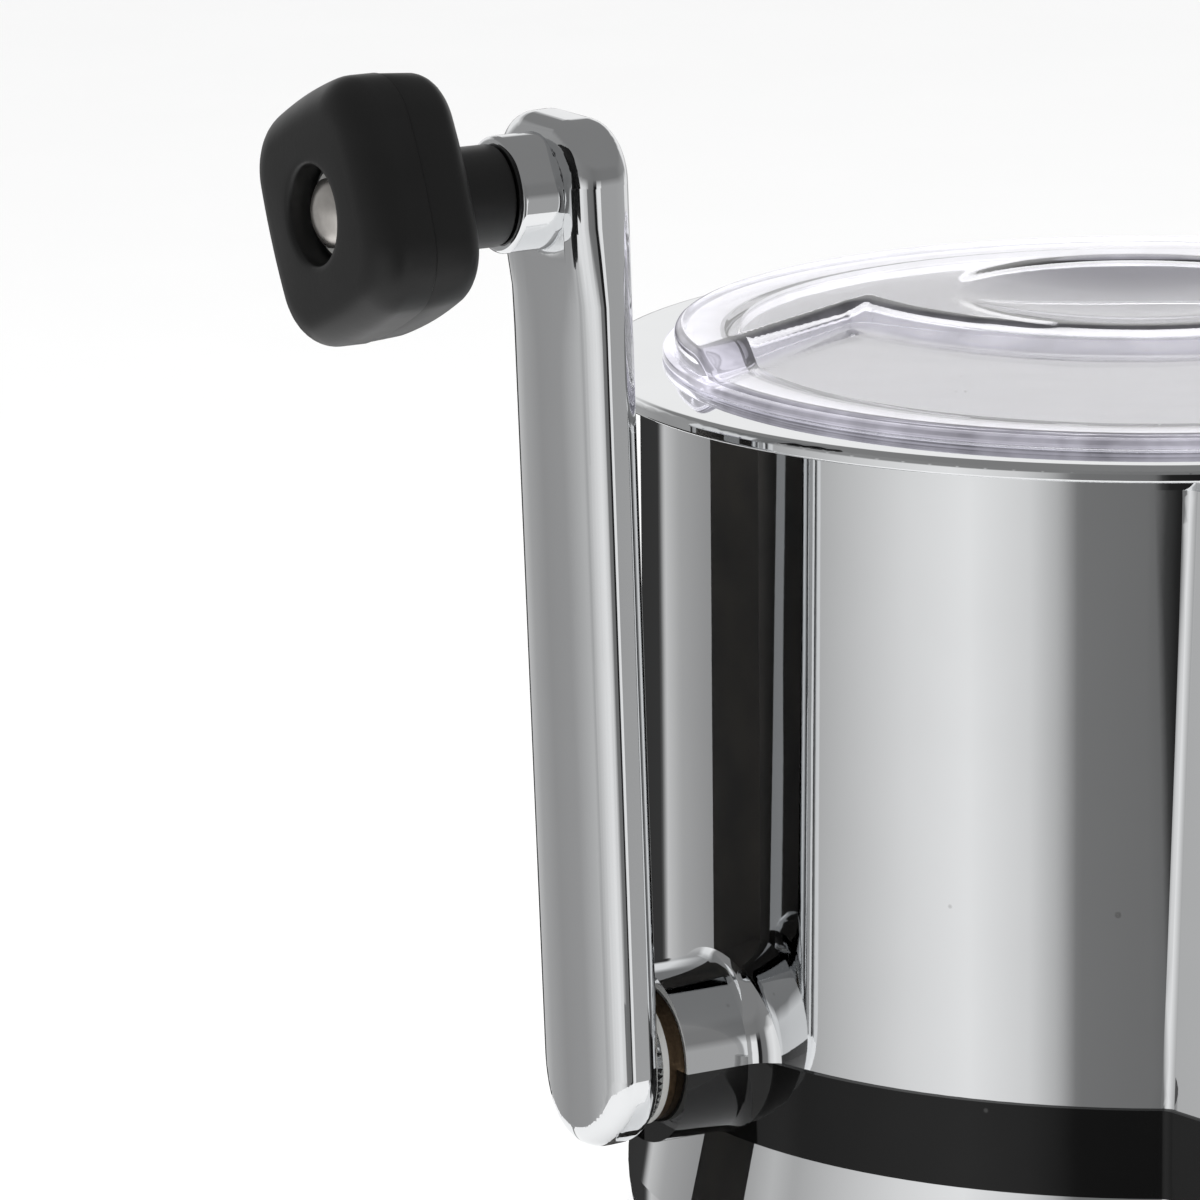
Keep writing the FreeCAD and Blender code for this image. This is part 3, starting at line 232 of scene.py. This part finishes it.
base.make("ShaderNodeOutputMaterial", {}, {"Surface": glow})
tent = new_piece("tent", tent_mesh, tent_paint)
tent.visible_camera = tent.visible_diffuse = tent.visible_shadow = False
tent.visible_transmission = False

# A narrow dark flag stands close to the wall, behind the crank arm, and only mirrors see it. Its
# two upright edges are given as distances towards the camera and to the left of the axis.
flag_near, flag_far = (38 * MM, 69 * MM), (24 * MM, 73 * MM)
flag_low, flag_high = 2 * MM, 231 * MM
flag_corners = ((flag_near, flag_low), (flag_far, flag_low),
                (flag_far, flag_high), (flag_near, flag_high))
to_camera, to_left = -plan_ahead, -plan_right
flag_mesh = bpy.data.meshes.new("flag")
flag_mesh.from_pydata([to_camera * near + to_left * left + Vector((0, 0, z))
                       for (near, left), z in flag_corners], [], [(0, 1, 2, 3)])
flag_paint, shader, base, place = new_finish("flag_paint", Roughness=0.9)
plug(shader, "Base Color", noise(base, place, size=12 * MM).blend(grey(0.03), (0.08, 0.07, 0.06, 1)))
flag = new_piece("flag", flag_mesh, flag_paint)
flag.visible_camera = flag.visible_diffuse = flag.visible_shadow = False
flag.visible_transmission = False


# The container is the lower half of the body, a drawn shell that catches the crushed ice.
# It is steel, polished and plated bright, with two flattened ribs worked into its sides.
def bumps(base, height, depth, under=None):
    """A normal for bumps as high as depth, on top of another normal if one is given."""
    sockets = {"Height": height, "Distance": depth}
    if under is not None:
        sockets["Normal"] = under
    return base.make("ShaderNodeBump", {}, sockets)


def specks(base, place, spacing, share):
    """Small dots, 1 on a dot and 0 elsewhere. The share is how many cells hold one."""
    cells = base.make("ShaderNodeTexVoronoi", {}, {"Vector": place, "Scale": 1 / spacing})
    pick = base.make("ShaderNodeSeparateColor", {}, {0: cells.output("Color")})
    dot_middle, dot_edge = 0.05, 0.10
    dot = base.make("ShaderNodeMapRange", {}, {0: cells, 1: dot_middle, 2: dot_edge, 3: 1.0, 4: 0.0})
    return dot * (pick > 1 - share)


def bright_plate(name, tint, roughness, wave):
    """Bright plate: almost a mirror, with a slow wave, orange peel, smudges and a little dust."""
    material, shader, base, place = new_finish(name, Metallic=1.0)
    dust = specks(base, place, spacing=5 * MM, share=0.05)
    smudge = noise(base, place, size=30 * MM, detail=3.0)
    plug(shader, "Roughness", smudge * 0.03 + roughness + dust * 0.2)
    dulled = tuple(c * 0.96 for c in tint[:3]) + (1,)
    tarnish = noise(base, place, size=12 * MM).blend(tint, dulled)
    plug(shader, "Base Color", dust.blend(tarnish, grey(0.45)))
    slow = bumps(base, noise(base, place, size=22 * MM, detail=1.0), wave)
    orange_peel = noise(base, place, size=1.5 * MM)
    plug(shader, "Normal", bumps(base, orange_peel, depth=0.0008 * MM, under=slow))
    return material


def wear(material, *nodes):
    """Give these CAD nodes this material."""
    for node in nodes:
        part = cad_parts[node]
        part.data.materials.clear()
        part.data.materials.append(material)


body_plate = bright_plate("body_plate", (0.80, 0.81, 0.82, 1), roughness=0.012, wave=0.02 * MM)
wear(body_plate, "base_container")


# The base plate closes the container from below. It is a black moulding with a fine grain,
# and it is held by four short screws.
def moulded(name, dark, light, roughness, grain, depth, **constants):
    """Moulded plastic: faint flow marks, an uneven gloss and a grain of this size and depth."""
    material, shader, base, place = new_finish(name, **constants)
    flow = noise(base, place, size=9 * MM, detail=3.0)
    dust = specks(base, place, spacing=4 * MM, share=0.04)
    dust_tint = tuple(min(c * 3 + 0.03, 1) for c in light[:3]) + (1,)
    plug(shader, "Base Color", dust.blend(flow.blend(dark, light), dust_tint))
    plug(shader, "Roughness", noise(base, place, size=5 * MM) * 0.1 + roughness)
    plug(shader, "Normal", bumps(base, noise(base, place, size=grain, detail=4.0), depth))
    return material


plate_grain = moulded("plate_grain", grey(0.018), grey(0.030), roughness=0.45, grain=0.6 * MM,
                      depth=0.03 * MM)
wear(plate_grain, "base_plate")

# The ten hidden machine screws are bright steel with a cross recess and a rolled thread.
# Four hold the base plate, four hold the black frame under the housing and two hold the comb.
screw_tree = bpy.data.node_groups.new("driven_screw", "GeometryNodeTree")
screw_sizes = ("Head Radius", "Head Depth", "Shank Radius", "Shank Length", "Turns", "Tip Over")
screw_tree.interface.new_socket("Places", in_out="INPUT", socket_type="NodeSocketGeometry")
for label in screw_sizes:
    screw_tree.interface.new_socket(label, in_out="INPUT", socket_type="NodeSocketFloat")
screw_tree.interface.new_socket("Finish", in_out="INPUT", socket_type="NodeSocketMaterial")
screw_tree.interface.new_socket("Screws", in_out="OUTPUT", socket_type="NodeSocketGeometry")
base = Wire(screw_tree)
given = base.make("NodeGroupInput")
head_radius, head_depth, shank_radius, shank_length, thread_turns, tip_over = (
    given.output(label) for label in screw_sizes)


def put(base, mesh, z, turn=0.0):
    """This mesh raised by z and turned about its own axis."""
    return base.make("GeometryNodeTransform", {}, {
        "Geometry": mesh, "Translation": base.make("ShaderNodeCombineXYZ", {}, {"Z": z}),
        "Rotation": (0, 0, turn)})


# Shares of the head's depth and radius: a straight rim, a crown on it and two crossed slots.
head_sides, rim_depth, crown_from, crown_top = 40, 0.62, 0.6, 0.78
slot_length, slot_width, slot_depth = 1.15, 0.24, 1.2
rim = base.make("GeometryNodeMeshCylinder", {}, {
    "Vertices": head_sides, "Radius": head_radius, "Depth": head_depth * rim_depth})
crown = base.make("GeometryNodeMeshCone", {}, {
    "Vertices": head_sides, "Radius Top": head_radius * crown_top, "Radius Bottom": head_radius,
    "Depth": head_depth * (1 - crown_from)})
slot = base.make("GeometryNodeMeshCube", {}, {"Size": base.make("ShaderNodeCombineXYZ", {}, {
    "X": head_radius * slot_length, "Y": head_radius * slot_width, "Z": head_depth * slot_depth})})
solid_head = base.make("GeometryNodeMeshBoolean", {"operation": "UNION"}, {
    "Mesh 2": [put(base, rim, head_depth * (rim_depth / 2)),
               put(base, crown, head_depth * crown_from)]})
head = base.make("GeometryNodeMeshBoolean", {"operation": "DIFFERENCE"}, {
    "Mesh 1": solid_head, "Mesh 2": [put(base, slot, head_depth),
                                     put(base, slot, head_depth, math.pi / 2)]})
# The thread's ridge is a share of its pitch, and the core is set in by a little more than one
# ridge. The core's middle and the thread's lower end are shares of the shank's length.
thread_sides, helix_points, ridge_share, ridge_sink = 5, 24, 0.34, 1.3
core_middle, thread_start, thread_length = -0.49, -0.97, 0.94
ridge = shank_length / thread_turns * ridge_share
core = base.make("GeometryNodeMeshCylinder", {}, {
    "Vertices": head_sides, "Radius": shank_radius - ridge * ridge_sink, "Depth": shank_length})
helix = base.make("GeometryNodeCurveSpiral", {}, {
    "Resolution": helix_points, "Rotations": thread_turns, "Start Radius": shank_radius - ridge,
    "End Radius": shank_radius - ridge, "Height": shank_length * thread_length})
thread = base.make("GeometryNodeCurveToMesh", {}, {
    "Curve": helix, "Fill Caps": True, "Profile Curve": base.make(
        "GeometryNodeCurvePrimitiveCircle", {}, {"Resolution": thread_sides, "Radius": ridge})})
whole = base.make("GeometryNodeJoinGeometry", {}, {"Geometry": [
    head, put(base, core, shank_length * core_middle),
    put(base, thread, shank_length * thread_start)]})
placed = base.make("GeometryNodeInstanceOnPoints", {}, {
    "Points": given.output("Places"), "Instance": whole,
    "Rotation": base.make("ShaderNodeCombineXYZ", {}, {"X": tip_over})})
plain = base.make("GeometryNodeRealizeInstances", {}, {"Geometry": placed})
finished = base.make("GeometryNodeSetMaterial", {}, {
    "Geometry": plain, "Material": given.output("Finish")})
base.make("NodeGroupOutput", {}, {"Screws": finished})


def worked_steel(name, dark, light, roughness, stretch):
    """Bare steel whose tool marks are drawn out along the axes where stretch is small."""
    material, shader, base, place = new_finish(name, Metallic=1.0)
    marks = noise(base, base.make("ShaderNodeMapping", {}, {
        "Vector": place, "Scale": stretch}), size=0.35 * MM, detail=3.0)
    plug(shader, "Base Color", marks.blend(dark, light))
    plug(shader, "Roughness", noise(base, place, size=4 * MM) * 0.08 + marks * 0.1 + roughness)
    plug(shader, "Normal", bumps(base, marks, depth=0.004 * MM))
    return material


screw_steel = worked_steel("screw_steel", (0.62, 0.61, 0.59, 1), (0.74, 0.72, 0.69, 1),
                           roughness=0.18, stretch=(1, 1, 0.4))


def soften(mesh, crease):
    """Smooth shading, but for edges sharper than this many degrees."""
    mesh.shade_smooth()
    mesh.set_sharp_from_angle(angle=math.radians(crease))


def drive_screws(node, body, sizes, places, tip_up):
    """Screws of one size at these places, which are the middles of their heads' undersides."""
    mesh = bpy.data.meshes.new(node + "_places")
    mesh.from_pydata(places, [], [])
    piece = bpy.data.objects.new(node + "_threaded", mesh)
    scene.collection.objects.link(piece)
    modifier = piece.modifiers.new("screws", "NODES")
    modifier.node_group = screw_tree
    values = dict(zip(screw_sizes, (*sizes, math.pi if tip_up else 0.0)))
    values["Finish"] = screw_steel
    for socket in screw_tree.interface.items_tree:
        if socket.name in values:
            modifier[socket.identifier] = values[socket.name]
    bpy.context.view_layer.update()
    graph = bpy.context.evaluated_depsgraph_get()
    piece.data = bpy.data.meshes.new_from_object(piece.evaluated_get(graph))
    piece.modifiers.clear()
    soften(piece.data, crease=35)
    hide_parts(node)
    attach(piece, body)


# Each screw's head radius, head depth, shank radius, shank length and turns of thread.
plate_screw = (3.4 * MM, 1.58 * MM, 1.8 * MM, 4.2 * MM, 6.0)
low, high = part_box("base_screws")
out = high.x - plate_screw[0]
drive_screws("base_screws", "base", plate_screw, [
    (x * out, y * out, low.z + plate_screw[1])
    for x, y in ((1, 0), (0, 1), (-1, 0), (0, -1))], tip_up=True)
frame_screw = (3.6 * MM, 2.18 * MM, 2.0 * MM, 25.28 * MM, 28.0)
low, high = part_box("housing_screws")
drive_screws("housing_screws", "head", frame_screw, [
    (x * (high.x - frame_screw[0]), y * (high.y - frame_screw[0]), low.z + frame_screw[1])
    for x in (-1, 1) for y in (-1, 1)], tip_up=True)
comb_screw = (3.6 * MM, 2.0 * MM, 2.0 * MM, 8.46 * MM, 10.0)
low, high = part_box("comb_screws")
drive_screws("comb_screws", "head", comb_screw, [
    (x * (high.x - comb_screw[0]), (low.y + high.y) / 2, high.z - comb_screw[1])
    for x in (-1, 1)], tip_up=False)

# The foot pad and the container seal are cut and moulded black rubber. The pad is glued under
# the base plate, and the seal is stretched round the spigot that sits in the container.
rubber, shader, base, place = new_finish("rubber")
bloom = noise(base, place, size=14 * MM, detail=4.0)
plug(shader, "Base Color", bloom.blend(grey(0.018), grey(0.040)))
plug(shader, "Roughness", bloom * 0.2 + 0.62)
plug(shader, "Normal", bumps(base, noise(base, place, size=0.8 * MM, detail=3.0), depth=0.05 * MM))
wear(rubber, "foot_pad", "container_seal")

# The middle frame carries the crank's bearings and the crushing chamber. It is one moulding of
# hard black plastic, polished where it shows as the band between the two plated shells.
band_gloss, shader, base, place = new_finish("band_gloss", IOR=1.5, Specular_IOR_Level=0.26)
depths = noise(base, place, size=10 * MM).blend(grey(0.002), grey(0.004))
dust = specks(base, place, spacing=4 * MM, share=0.05)
plug(shader, "Base Color", dust.blend(depths, grey(0.04)))
plug(shader, "Roughness", noise(base, place, size=20 * MM) * 0.05 + 0.03)
plug(shader, "Normal", bumps(base, noise(base, place, size=9 * MM, detail=1.0), depth=0.03 * MM))
wear(band_gloss, "mid_frame")

# The upper housing is the plated shell of the head, with its round collar, the wall, the two
# ribs and the upper half of the crank's boss. It has the same bright plate as the container.
wear(body_plate, "upper_housing")

# The hopper liner is a light grey moulded funnel that drops into the housing and leads the
# cubes down to the rotor.
hopper_grey = moulded("hopper_grey", (0.84, 0.84, 0.86, 1), (0.90, 0.90, 0.92, 1),
                      roughness=0.38, grain=0.9 * MM, depth=0.012 * MM)
wear(hopper_grey, "hopper_liner")

# The comb and the rotor's wheels are stamped from stainless sheet. The comb is screwed to the
# frame, and the ice is broken between its teeth and the wheels' spikes.
sheet_steel = worked_steel("sheet_steel", (0.52, 0.52, 0.52, 1), (0.66, 0.66, 0.67, 1),
                           roughness=0.22, stretch=(1, 0.06, 1))
wear(sheet_steel, "fixed_comb", "rotor_wheels")

# Three plain bushes carry the shaft. They are pressed from bronze powder, so their skin is full of
# small pores. Their brown is made dark as painted shade for the gap between the arm and the boss,
# where the boss's bush shows.
bronze, shader, base, place = new_finish("bronze", Metallic=1.0)
pores = noise(base, place, size=0.5 * MM, detail=4.0)
# Both browns are dark: painted shade for the gap at the boss, varied by the pores.
plug(shader, "Base Color", pores.blend((0.06, 0.04, 0.025, 1), (0.22, 0.15, 0.09, 1)))
plug(shader, "Roughness", pores * 0.2 + 0.32)
plug(shader, "Normal", bumps(base, pores, depth=0.04 * MM))
wear(bronze, "boss_bush", "left_bush", "right_bush")

# The lid is one clear moulding with a faint violet tint. A raised crescent and hub stand on its
# deck, with a dish for the finger at the back, and a skirt below centres it in the mouth. Its
# sizes are in millimetres, and its heights are from the collar that it sits on.
lid_radius, lid_rim, flange_radius, flange_top = 62.0, 1.2, 63.5, 1.4
deck, plateau, lid_wall = 1.8, 4.3, 2.0
skirt_outer, skirt_inner, skirt_depth = 55.4, 53.4, 7.0
# The step's foot and its crest each have an end at the rim, a shoulder and a front at the hub.
foot = {"end": 26.0, "shoulder": (38.6, 9.0), "front": 12.5}
crest = {"end": 16.5, "shoulder": (36.0, 20.0), "front": 2.8}
dish_offset, dish_radius, dish_depth, dish_edge = 22.0, 24.2, 3.2, 0.14
lid_turn = math.radians(-30)
lid_sides, ring_step, rim_count, under_count = 300, 0.5, 6, 60
lid_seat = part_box("lid")[0].z + skirt_depth * MM


def step_line(level, x):
    """How far back the step's foot or crest runs at this x: the hub's arc, then an arm."""
    x, (side, back) = abs(x), level["shoulder"]
    rise = back + level["front"]
    arc = (side * side + rise * rise) / (2 * rise)
    if x < side:
        return arc - level["front"] - math.sqrt(arc * arc - x * x)
    reach = math.sqrt(lid_radius ** 2 - level["end"] ** 2) - side
    return back - (x - side) * (back + level["end"]) / reach


def step_share(x, y):
    """How far up the step this place is, from 0 at its foot to 1 at its crest."""
    x = min(abs(x), lid_radius)
    start, stop = step_line(foot, x), step_line(crest, x)
    return min(max((y - start) / (stop - start), 0), 1)


def lid_height(x, y):
    """Top of the lid: the deck, the step up to the plateau, and the dish blended into it."""
    share = step_share(x, y)
    top = deck + (plateau - deck) * share * share * (3 - 2 * share)
    ball = (dish_radius ** 2 + dish_depth ** 2) / (2 * dish_depth)
    nearly_ball = ball * 0.99
    apart = min(math.hypot(x, y - dish_offset), nearly_ball)
    bowl = plateau - dish_depth + ball - math.sqrt(ball * ball - apart * apart)
    gap = abs(top - bowl)
    return min(top, bowl) - dish_edge * math.log1p(math.exp(-gap / dish_edge))


def skin(name, rings, loop):
    """A closed mesh through rings in millimetres. It ends in flat caps, or joins up as a loop."""
    shape = bmesh.new()
    rows = [[shape.verts.new(Vector(point) * MM) for point in ring] for ring in rings]
    pairs = list(zip(rows, rows[1:] + rows[:1])) if loop else list(zip(rows, rows[1:]))
    for first, second in pairs:
        for i, corner in enumerate(first):
            following = (i + 1) % len(first)
            shape.faces.new((corner, first[following], second[following], second[i]))
    for row in () if loop else (rows[0], rows[-1]):
        shape.faces.new(row)
    bmesh.ops.recalc_face_normals(shape, faces=shape.faces)
    mesh = bpy.data.meshes.new(name)
    shape.to_mesh(mesh)
    shape.free()
    return mesh


def lid_ring(radius, height):
    """One ring of the lid on its seat. The height is a number, or follows from the place."""
    ring = []
    for i in range(lid_sides):
        angle = math.tau * i / lid_sides
        x, y = radius * math.cos(angle), radius * math.sin(angle)
        z = height(x, y) if callable(height) else height
        ring.append((x * math.cos(lid_turn) - y * math.sin(lid_turn),
                     x * math.sin(lid_turn) + y * math.cos(lid_turn), z + lid_seat / MM))
    return ring


def rim_height(bend):
    """Height of the rounded rim, where bend goes from 0 on top to a quarter turn."""
    def height(x, y):
        top = lid_height(x, y)
        return top - min(lid_rim, top - flange_top) * (1 - math.cos(bend))
    return height


lid_rings = [lid_ring(ring_step * i, lid_height)
             for i in range(1, int((lid_radius - lid_rim) / ring_step) + 1)]
lid_rings += [lid_ring(lid_radius - lid_rim * (1 - math.sin(bend)), rim_height(bend))
              for bend in (math.pi / 2 * i / rim_count for i in range(rim_count + 1))]
# The flange stops seat_gap above the collar, because two faces in one place show as a dark ring.
edge_round, rim_foot, seat_gap = 0.4, 0.02, 0.15
round_middle, under_round = edge_round * 0.3, edge_round * 0.5
lid_rings += [lid_ring(lid_radius + rim_foot, flange_top),
              lid_ring(flange_radius - edge_round, flange_top),
              lid_ring(flange_radius - round_middle, flange_top - round_middle),
              lid_ring(flange_radius, flange_top - edge_round),
              lid_ring(flange_radius, seat_gap + under_round),
              lid_ring(flange_radius - under_round, seat_gap),
              lid_ring(skirt_outer, seat_gap),
              lid_ring(skirt_outer, -skirt_depth + edge_round),
              lid_ring(skirt_outer - edge_round, -skirt_depth),
              lid_ring(skirt_inner + edge_round, -skirt_depth),
              lid_ring(skirt_inner, -skirt_depth + edge_round)]
lid_rings += [lid_ring(skirt_inner * (1 - i / under_count),
                       lambda x, y: lid_height(x, y) - lid_wall) for i in range(under_count)]
clear_mesh = skin("lid_moulded", lid_rings, loop=False)
soften(clear_mesh, crease=40)

# The rim and the step of the clear lid have a faint painted glow, an emission that stands in for the
# light that clear plastic gathers at its rim and in its step.
rim_glow_from, rim_glow, step_glow = 61.4, 1.0, 0.5
painted_glow_layer = clear_mesh.attributes.new("gathered_light", "FLOAT", "POINT")
for point, value in zip(clear_mesh.vertices, painted_glow_layer.data):
    x, y = point.co.x / MM, point.co.y / MM
    x, y = (x * math.cos(lid_turn) + y * math.sin(lid_turn),
            y * math.cos(lid_turn) - x * math.sin(lid_turn))
    share = step_share(x, y)
    at_rim = rim_glow if math.hypot(x, y) > rim_glow_from else 0.0
    value.value = max(4 * share * (1 - share) * step_glow, at_rim)
clear, shader, base, place = new_finish("lid_clear", Base_Color=(0.98, 0.975, 1.0, 1), IOR=1.49,
                                        Transmission_Weight=1.0, Emission_Strength=1.0)
# The emission colour is the painted glow, in faint streaks, and this share says where on the lid it
# lies.
painted_glow_mask = base.make("ShaderNodeAttribute", {"attribute_name": "gathered_light"}).output("Fac")
painted_glow_streaks = noise(base, place, size=6 * MM, detail=3.0) * painted_glow_mask
plug(shader, "Emission Color", painted_glow_streaks.blend(grey(0), (0.42, 0.41, 0.47, 1)))
scuffs = noise(base, place, size=3 * MM, detail=4.0)
dust = specks(base, place, spacing=3 * MM, share=0.08)
plug(shader, "Roughness", dust * 0.3 + scuffs * 0.02)
plug(shader, "Normal", bumps(base, noise(base, place, size=14 * MM, detail=1.0), depth=0.02 * MM))
lid = new_piece("lid_moulded", clear_mesh, clear)
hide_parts("lid")
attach(lid, "lid")

# The drive shaft runs through the head, with spacers between the wheels, a spring clip at each
# bearing and a set screw that holds the arm. All are steel, and the shaft is ground, so that fine
# tool marks run round it.
ground_steel = worked_steel("ground_steel", (0.58, 0.58, 0.57, 1), (0.72, 0.72, 0.71, 1),
                            roughness=0.14, stretch=(1, 0.05, 0.05))
wear(ground_steel, "drive_shaft", "rotor_spacers", "shaft_clips", "arm_set_screw")

# Two flat washers keep the arm off the boss and the knob off its screw's head. They are moulded
# in grey acetal, which runs dry against steel and plate.
acetal = moulded("acetal", (0.46, 0.46, 0.45, 1), (0.52, 0.52, 0.50, 1), roughness=0.40,
                 grain=0.5 * MM, depth=0.008 * MM)
wear(acetal, "thrust_washer", "knob_washer")

# The crank arm is a casting, ground, polished and plated, and the ferrule is turned and plated.
# The arm's outer face is crowned, so that it falls away to its long edges, and it stays flat where
# the ferrule is seated.
arm_plate = bright_plate("arm_plate", (0.78, 0.79, 0.80, 1), roughness=0.03, wave=0.03 * MM)
wear(arm_plate, "knob_ferrule")
arm_lean, arm_face_x, arm_thick, arm_half = math.radians(1.8), -88.2 * MM, 8.0 * MM, 10.5 * MM
arm_crown, flat_from, flat_to = 1.6 * MM, 8.2 * MM, 18 * MM
strips_each_side, strip_width = 17, 0.6 * MM
lowest_cut, highest_cut, cut_step, weld = -2, 23, 5, 0.002 * MM
spin_height, knob_height = 152 * MM, (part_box("knob")[0].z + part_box("knob")[1].z) / 2
cast = bmesh.new()
cast.from_mesh(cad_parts["crank_arm"].data)
bmesh.ops.remove_doubles(cast, verts=cast.verts, dist=weld)


def score(place, across):
    """Divide the casting's faces along a plane, so that they can follow the crown."""
    bmesh.ops.bisect_plane(cast, geom=cast.verts[:] + cast.edges[:] + cast.faces[:],
                           plane_co=place, plane_no=across)


for i in range(-strips_each_side, strips_each_side + 1):
    score((0, i * strip_width, 0), (0, 1, 0))
for i in range(lowest_cut, highest_cut + 1):
    score((0, 0, spin_height + i * cut_step * MM), (0, 0, 1))
# The crown is full in the outer face, which leans, and fades with depth below it and towards the
# ferrule's seat.
for point in cast.verts:
    x, y, z = point.co
    deep = (x - arm_face_x + (z - spin_height) * math.tan(arm_lean)) / arm_thick
    clear_of_seat = (math.hypot(y, z - knob_height) - flat_from) / (flat_to - flat_from)
    eased = min(max(clear_of_seat, 0), 1)
    fall = arm_crown * (y / arm_half) ** 2 * eased * eased * (3 - 2 * eased)
    point.co.x += fall * max(1 - deep, 0) ** 2 if deep < 1 else 0
arm_mesh = bpy.data.meshes.new("arm_crowned")
cast.to_mesh(arm_mesh)
cast.free()
soften(arm_mesh, crease=50)
arm = new_piece("arm_crowned", arm_mesh, arm_plate)
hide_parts("crank_arm")
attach(arm, "crank")

# The knob turns on a shoulder screw with a domed head. The screw is turned from bright steel, so
# its tool marks run round it.
pin_steel = worked_steel("pin_steel", (0.60, 0.57, 0.54, 1), (0.78, 0.75, 0.71, 1),
                         roughness=0.20, stretch=(1, 0.3, 0.3))
wear(pin_steel, "knob_pin")

# The knob is moulded in black plastic with a satin skin, in one piece with its stem. Its front
# is soft and round, a fine parting line runs round its middle, and its screw sits in a recess.
# Its sizes are in millimetres, and its mesh runs from the recess over the front to the stem.
knob_half, knob_corner, knob_bulge, knob_turn = 15.5, 8.6, 75.0, math.radians(-24)
knob_front, knob_back, stem_end = -123.34, -108.04, -97.84
bore_radius, stem_radius, recess_radius, recess_floor = 3.06, 6.4, 6.2, -119.14
front_round, front_inset, back_round, face_dome = 4.6, 5.0, 3.0, 0.15
parting, parting_step, parting_half, parting_far_share = -115.3, 0.16, 0.12, 0.6
back_draft, recess_round, stem_fillet, fillet_middle = 0.4, 0.3, 0.8, 0.25
stem_round, stem_round_middle = 0.5, 0.15
corner_points, side_points = 20, 8
face_count, front_count, back_count, shoulder_count = 6, 12, 8, 4
knob_low, knob_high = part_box("knob")
knob_axis = (knob_low.z + knob_high.z) / 2 / MM


def knob_outline():
    """Points of the bulged square. Each has its side's quarter turn, the outward direction from
    that side's middle, and how far it lies ahead of the centre and beside it."""
    centre = knob_half - knob_bulge
    gap = knob_bulge - knob_corner
    corner = (-abs(centre) + math.sqrt(2 * gap * gap - centre * centre)) / 2
    swing = math.asin(corner / gap)
    points = []
    for side in range(4):
        quarter = side * math.pi / 2
        for i in range(side_points):
            turn = -swing + 2 * swing * (i + 0.5) / side_points
            points.append((quarter, turn, centre + knob_bulge * math.cos(turn),
                           knob_bulge * math.sin(turn)))
        for i in range(corner_points):
            turn = swing + (math.pi / 2 - 2 * swing) * i / (corner_points - 1)
            points.append((quarter, turn, corner + knob_corner * math.cos(turn),
                           corner + knob_corner * math.sin(turn)))
    return points


def knob_ring(x, inset, round_share=0.0, radius=0.0):
    """The outline drawn in by inset, or partly or wholly a circle of this radius."""
    ring = []
    for quarter, turn, ahead, beside in knob_outline():
        ahead -= inset * math.cos(turn)
        beside -= inset * math.sin(turn)
        reach = math.hypot(ahead, beside)
        size = reach * (1 - round_share + round_share * radius / reach)
        swing = math.atan2(beside, ahead) + quarter + knob_turn
        ring.append((x, size * math.cos(swing), size * math.sin(swing) + knob_axis))
    return ring


def round_ring(x, radius):
    return knob_ring(x, 0, 1.0, radius)


knob_rings = [round_ring(recess_floor, bore_radius),
              round_ring(recess_floor, recess_radius - recess_round),
              round_ring(recess_floor - recess_round, recess_radius)]
# The recess's mouth is rounded through these rings, each a drop from the front and a spread, and
# the face begins at the mouth's lip.
mouth_rings, mouth_lip = ((0.7, 0.0), (0.25, 0.15), (0.05, 0.45)), 1.0
knob_rings += [round_ring(knob_front + drop, recess_radius + spread) for drop, spread in mouth_rings]
face_edge = knob_front + face_dome
for i in range(face_count + 1):
    share = i / face_count
    knob_rings.append(knob_ring(knob_front + face_dome * share * share, front_inset, 1 - share,
                                recess_radius + mouth_lip))
for i in range(1, front_count + 1):
    bend = math.pi / 2 * i / front_count
    knob_rings.append(knob_ring(face_edge + front_round * (1 - math.cos(bend)),
                                front_inset * (1 - math.sin(bend))))
knob_rings += [knob_ring(parting - parting_half, 0.0), knob_ring(parting, parting_step),
               knob_ring(parting + parting_half, parting_step * parting_far_share)]
for i in range(back_count + 1):
    bend = math.pi / 2 * i / back_count
    knob_rings.append(knob_ring(knob_back - back_round * (1 - math.sin(bend)),
                                back_draft + back_round * (1 - math.cos(bend))))
for i in range(1, shoulder_count + 1):
    knob_rings.append(knob_ring(knob_back, back_draft + back_round, i / shoulder_count,
                                stem_radius + stem_fillet))
knob_rings += [round_ring(knob_back + fillet_middle, stem_radius + fillet_middle),
               round_ring(knob_back + stem_fillet, stem_radius),
               round_ring(stem_end - stem_round, stem_radius),
               round_ring(stem_end - stem_round_middle, stem_radius - stem_round_middle),
               round_ring(stem_end, stem_radius - stem_round),
               round_ring(stem_end, bore_radius)]
knob_mesh = skin("knob_moulded", knob_rings, loop=True)
soften(knob_mesh, crease=40)
satin = moulded("knob_satin", grey(0.0045), grey(0.0075), roughness=0.36, grain=0.7 * MM,
                depth=0.010 * MM, Specular_IOR_Level=0.36)
knob = new_piece("knob_moulded", knob_mesh, satin)
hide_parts("knob")
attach(knob, "knob")
